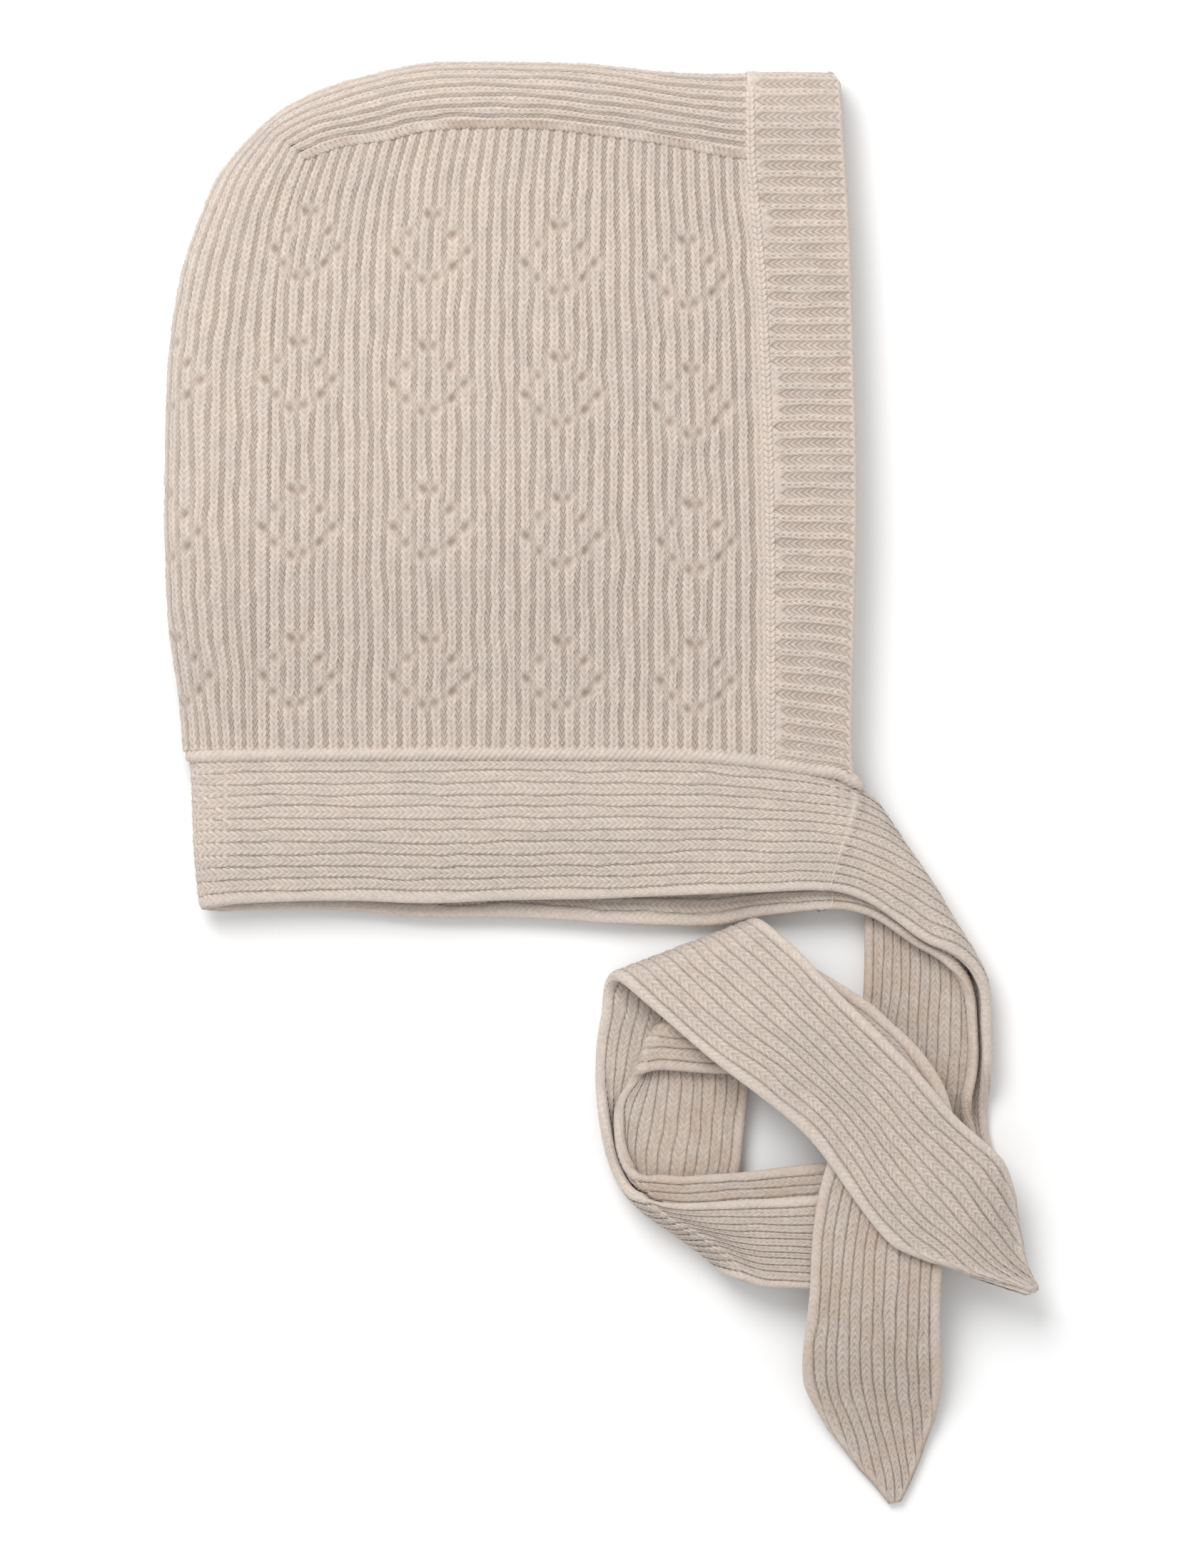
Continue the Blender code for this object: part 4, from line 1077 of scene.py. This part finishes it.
def rolled_edge():
    """Rolled neck edge: a cord of knit whose stitches lie slantwise round it."""
    path = settle(roll_path())
    s = lengths(path)
    rows, sides = int(s[-1] / STITCH) * 3, ROLL_SIDES
    v = np.linspace(0, s[-1], rows + 1)
    middle = np.stack([np.interp(v, s, path[:, i]) for i in range(3)], -1)
    ahead = np.gradient(middle, axis=0)
    ahead = ahead / np.linalg.norm(ahead, axis=1, keepdims=True)
    side = np.cross(ahead, (0, 0, 1))
    side = side / np.linalg.norm(side, axis=1, keepdims=True)
    up = np.cross(side, ahead)
    turn = np.linspace(0, 2 * math.pi, sides, endpoint=False)
    stitch = v[:, None] / STITCH + ROLL_SLANT * np.cos(turn)[None]
    crease = (0.5 + 0.5 * np.cos(2 * math.pi * stitch)) ** 2
    rough = drift(v[:, None] / STITCH + 0 * turn[None], turn[None] * 2 + 0 * v[:, None], 31, 1.0, 1.6)
    height = 1 - 0.6 * crease + 0.12 * rough
    ends = smooth(np.minimum(v, s[-1] - v) / 3.0)[:, None]
    radius = ROLL * ROLL_PLUMP * (0.7 + 0.3 * height) * (0.5 + 0.5 * ends)
    ring = middle[:, None] + radius[..., None] * (side[:, None] * np.cos(turn)[None, :, None]
                                                  + up[:, None] * np.sin(turn)[None, :, None])
    index = np.arange((rows + 1) * sides).reshape(rows + 1, sides)
    after = np.roll(index, -1, axis=1)
    faces = np.stack([index[:-1], index[1:], after[1:], after[:-1]], -1).reshape(-1, 4).tolist()
    faces.append(list(index[0]))
    faces.append(list(index[-1][::-1]))
    facts = np.stack([turn[None] + 0 * stitch, stitch, height], -1)
    return knit_mesh("rolled_edge", ring.reshape(-1, 3) * MM, faces, facts)


def crown_path(near):
    """Line of the crown seam's braid on the near or the far side."""
    line = Line(CROWN)
    path = []
    for t in np.linspace(0.0, 1.0, 60):
        p = line(t)
        path.append((p[0], p[1], loft(p[0], p[1]) + WALL / 2 + BRAID_RISE if near else BRAID_FLAT))
    return path


def front_seam_path():
    """Line of the chained seam between side panel and front band."""
    path = front_place(np.linspace(1.2, FRONT_RIBS, 160), np.full(160, CHAIN_SHARE))
    return settle(path + np.array([0.0, 0.0, CHAIN_RISE]))


def wool(name, light, shade_strength):
    """Matt oatmeal wool: heathered fibres, painted shade in the valleys and eyelets, with a fine nap."""
    mat = bpy.data.materials.new(name)
    mat.use_nodes = True
    t = Tree(mat.node_tree)
    shader = mat.node_tree.nodes["Principled BSDF"]
    place = t.add("ShaderNodeTexCoord").outputs["Object"]
    knit = t.add("ShaderNodeAttribute", attribute_name="knit").outputs["Vector"]
    height = t.add("ShaderNodeSeparateXYZ", {0: knit}).outputs["Z"]
    # Painted shade in the valleys: the lower a stitch lies, the more the wool turns to the valley shade
    # colour.
    valley_shade = t.ramp(height, 0.0, 0.85, shade_strength, 0.0)
    # Painted shade in the eyelets: where a pit sinks below the knit, the wool turns to the dark hole colour.
    eyelet_shade = t.ramp(height, -1.2, 0.0, 1.0, 0.0)
    patches = t.add("ShaderNodeTexNoise", {"Vector": place, "Scale": PATCHES, "Detail": 3.0})
    flecks = t.add("ShaderNodeTexNoise", {"Vector": place, "Scale": FLECKS, "Detail": 5.0,
                                          "Roughness": 0.75})
    base = t.blend(t.ramp(patches.outputs["Fac"], 0.35, 0.65), (*light, 1), (*GREY_WOOL, 1))
    fleck = t.scaled(base, t.ramp(flecks.outputs["Fac"], 0.3, 0.7, 0.82, 1.12))
    shaded_colour = t.blend(eyelet_shade, t.blend(valley_shade, fleck, (*SHADE_WOOL, 1)), (*HOLE_SHADE_WOOL, 1))
    mat.node_tree.links.new(shaded_colour, shader.inputs["Base Color"])
    stretch = t.add("ShaderNodeVectorMath", {0: knit, 1: (9.0, 3.0, 1.0)}, operation="MULTIPLY")
    strands = t.add("ShaderNodeTexNoise", {"Vector": stretch.outputs[0], "Scale": 1.0, "Detail": 3.0})
    nap = t.add("ShaderNodeTexNoise", {"Vector": place, "Scale": NAP, "Detail": 3.0})
    both = t.add("ShaderNodeMath", {0: strands.outputs["Fac"], 1: nap.outputs["Fac"]}, operation="ADD")
    bump = t.add("ShaderNodeBump", {"Height": both.outputs[0], "Strength": 0.6, "Distance": NAP_DEPTH})
    mat.node_tree.links.new(bump.outputs[0], shader.inputs["Normal"])
    shader.inputs["Roughness"].default_value = 0.92
    shader.inputs["Specular IOR Level"].default_value = 0.15
    shader.inputs["Sheen Weight"].default_value = 0.2
    shader.inputs["Sheen Roughness"].default_value = 0.6
    return mat


def dress(piece, node, mat):
    """Give a piece its wool and its body, and hide the solid that it stands for."""
    piece.data.materials.clear()
    piece.data.materials.append(mat)
    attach(piece, "root")
    if node:
        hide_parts(node)
    return piece


def studio():
    """Pale floor, one large soft light from the upper left, and an even sky."""
    floor_mesh = bpy.data.meshes.new("floor")
    r = FLOOR_REACH
    corners = [(-r, -r, FLOOR_Z), (r, -r, FLOOR_Z), (r, r, FLOOR_Z), (-r, r, FLOOR_Z)]
    floor_mesh.from_pydata(corners, [], [(0, 1, 2, 3)])
    floor = link("floor", floor_mesh)
    paper = bpy.data.materials.new("white_paper")
    paper.use_nodes = True
    shader = paper.node_tree.nodes["Principled BSDF"]
    shader.inputs["Base Color"].default_value = (*PAPER, 1)
    shader.inputs["Roughness"].default_value = 0.95
    shader.inputs["Specular IOR Level"].default_value = 0.0
    floor_mesh.materials.append(paper)

    world = bpy.data.worlds.new("studio")
    bpy.context.scene.world = world
    world.use_nodes = True
    sky = world.node_tree.nodes["Background"]
    sky.inputs["Color"].default_value = (1, 1, 1, 1)
    sky.inputs["Strength"].default_value = SKY

    lamp = bpy.data.lights.new("soft_light", "AREA")
    lamp.shape = "DISK"
    lamp.size = LAMP_SIZE
    lamp.energy = LAMP_POWER
    light = link("soft_light", lamp)
    light.location = LAMP_PLACE
    light.rotation_euler = (-light.location).to_track_quat("-Z", "Y").to_euler()
    bpy.context.scene.view_settings.view_transform = "Standard"


def camera():
    """Straight above and far off, so that the frame shows its stretch of table."""
    data = bpy.data.cameras.new("camera")
    data.sensor_width = 36.0
    reach = CAMERA_HEIGHT - LOFT / 2 * MM
    data.lens = data.sensor_width * reach / (FRAME_HEIGHT * MM)
    data.clip_end = CAMERA_HEIGHT * 3
    cam = link("camera", data)
    x, y = at(FRAME_CENTRE) * MM
    cam.location = (x, y, CAMERA_HEIGHT)
    bpy.context.scene.camera = cam


NEAR_TIE = Ribbon(NEAR_LEGS, NEAR_LEVELS, NEAR_CREASES, NEAR_WIDTHS, NEAR_BENDS, NEAR_SHIFT,
                  NEAR_DRAPE, NEAR_TAIL, NEAR_LEAN)
FAR_TIE = Ribbon(FAR_LEGS, FAR_LEVELS, FAR_CREASES, FAR_WIDTHS, FAR_BENDS, FAR_SHIFT,
                 FAR_DRAPE, FAR_TAIL, FAR_LEAN)
NECK_TABLE = neck_paths(np.linspace(0, 1, 25), 61, 28)
NEAR_MOVES = join_moves(NECK_TABLE, NEAR_TIE, NEAR_START, False)
FAR_MOVES = join_moves(NECK_TABLE, FAR_TIE, FAR_START, True)
CHAIN = chain_tree()
panel_wool = wool("panel_wool", LIGHT_WOOL, 0.9)
band_wool = wool("band_wool", LIGHT_WOOL, 0.75)
# Painted shade: the crown seams' wool is darker, for the shadow in the groove beneath the strip's edge.
seam_shade_wool = wool("seam_shade_wool", SEAM_SHADE_WOOL, 0.9)
tie_wool = wool("tie_wool", LIGHT_WOOL, 0.85)
# Painted shade: the far tie's wool is darker, for the shade where it lies low under the near tie.
far_shade_wool = wool("far_shade_wool", FAR_SHADE_WOOL, 0.85)

side_panel = dress(side_near(), "knitted_shell", panel_wool)
back = dress(strip(), "knitted_shell", panel_wool)
far_panel = dress(side_far(), "knitted_shell", panel_wool)
front = dress(front_band(), "front_band", band_wool)
band = dress(neck_band(), "neck_band", tie_wool)
near_tie = dress(tie("tie_near_knit", NEAR_TIE, NEAR_START, NEAR_MOVES, 17),
                 "tie_near", tie_wool)
# The far tie wears the darker wool of painted shade.
far_tie = dress(tie("tie_far_knit", FAR_TIE, FAR_START, FAR_MOVES, 19, settle_far),
                "tie_far", far_shade_wool)
dress(rolled_edge(), "neck_roll", band_wool)
CHAINS = [
    # The crown braids wear the darker wool of painted shade.
    ("crown_braid_near", crown_path(True), NEAR_BRAID, "crown_seam_near", seam_shade_wool),
    ("crown_braid_far", crown_path(False), FAR_BRAID, "crown_seam_far", seam_shade_wool),
    ("front_seam_chain", front_seam_path(), SEAM_CHAIN, None, band_wool),
]
for name, path, sizes, node, mat in CHAINS:
    dress(stitch_chain(name, path, sizes, mat), node, mat)
studio()
camera()
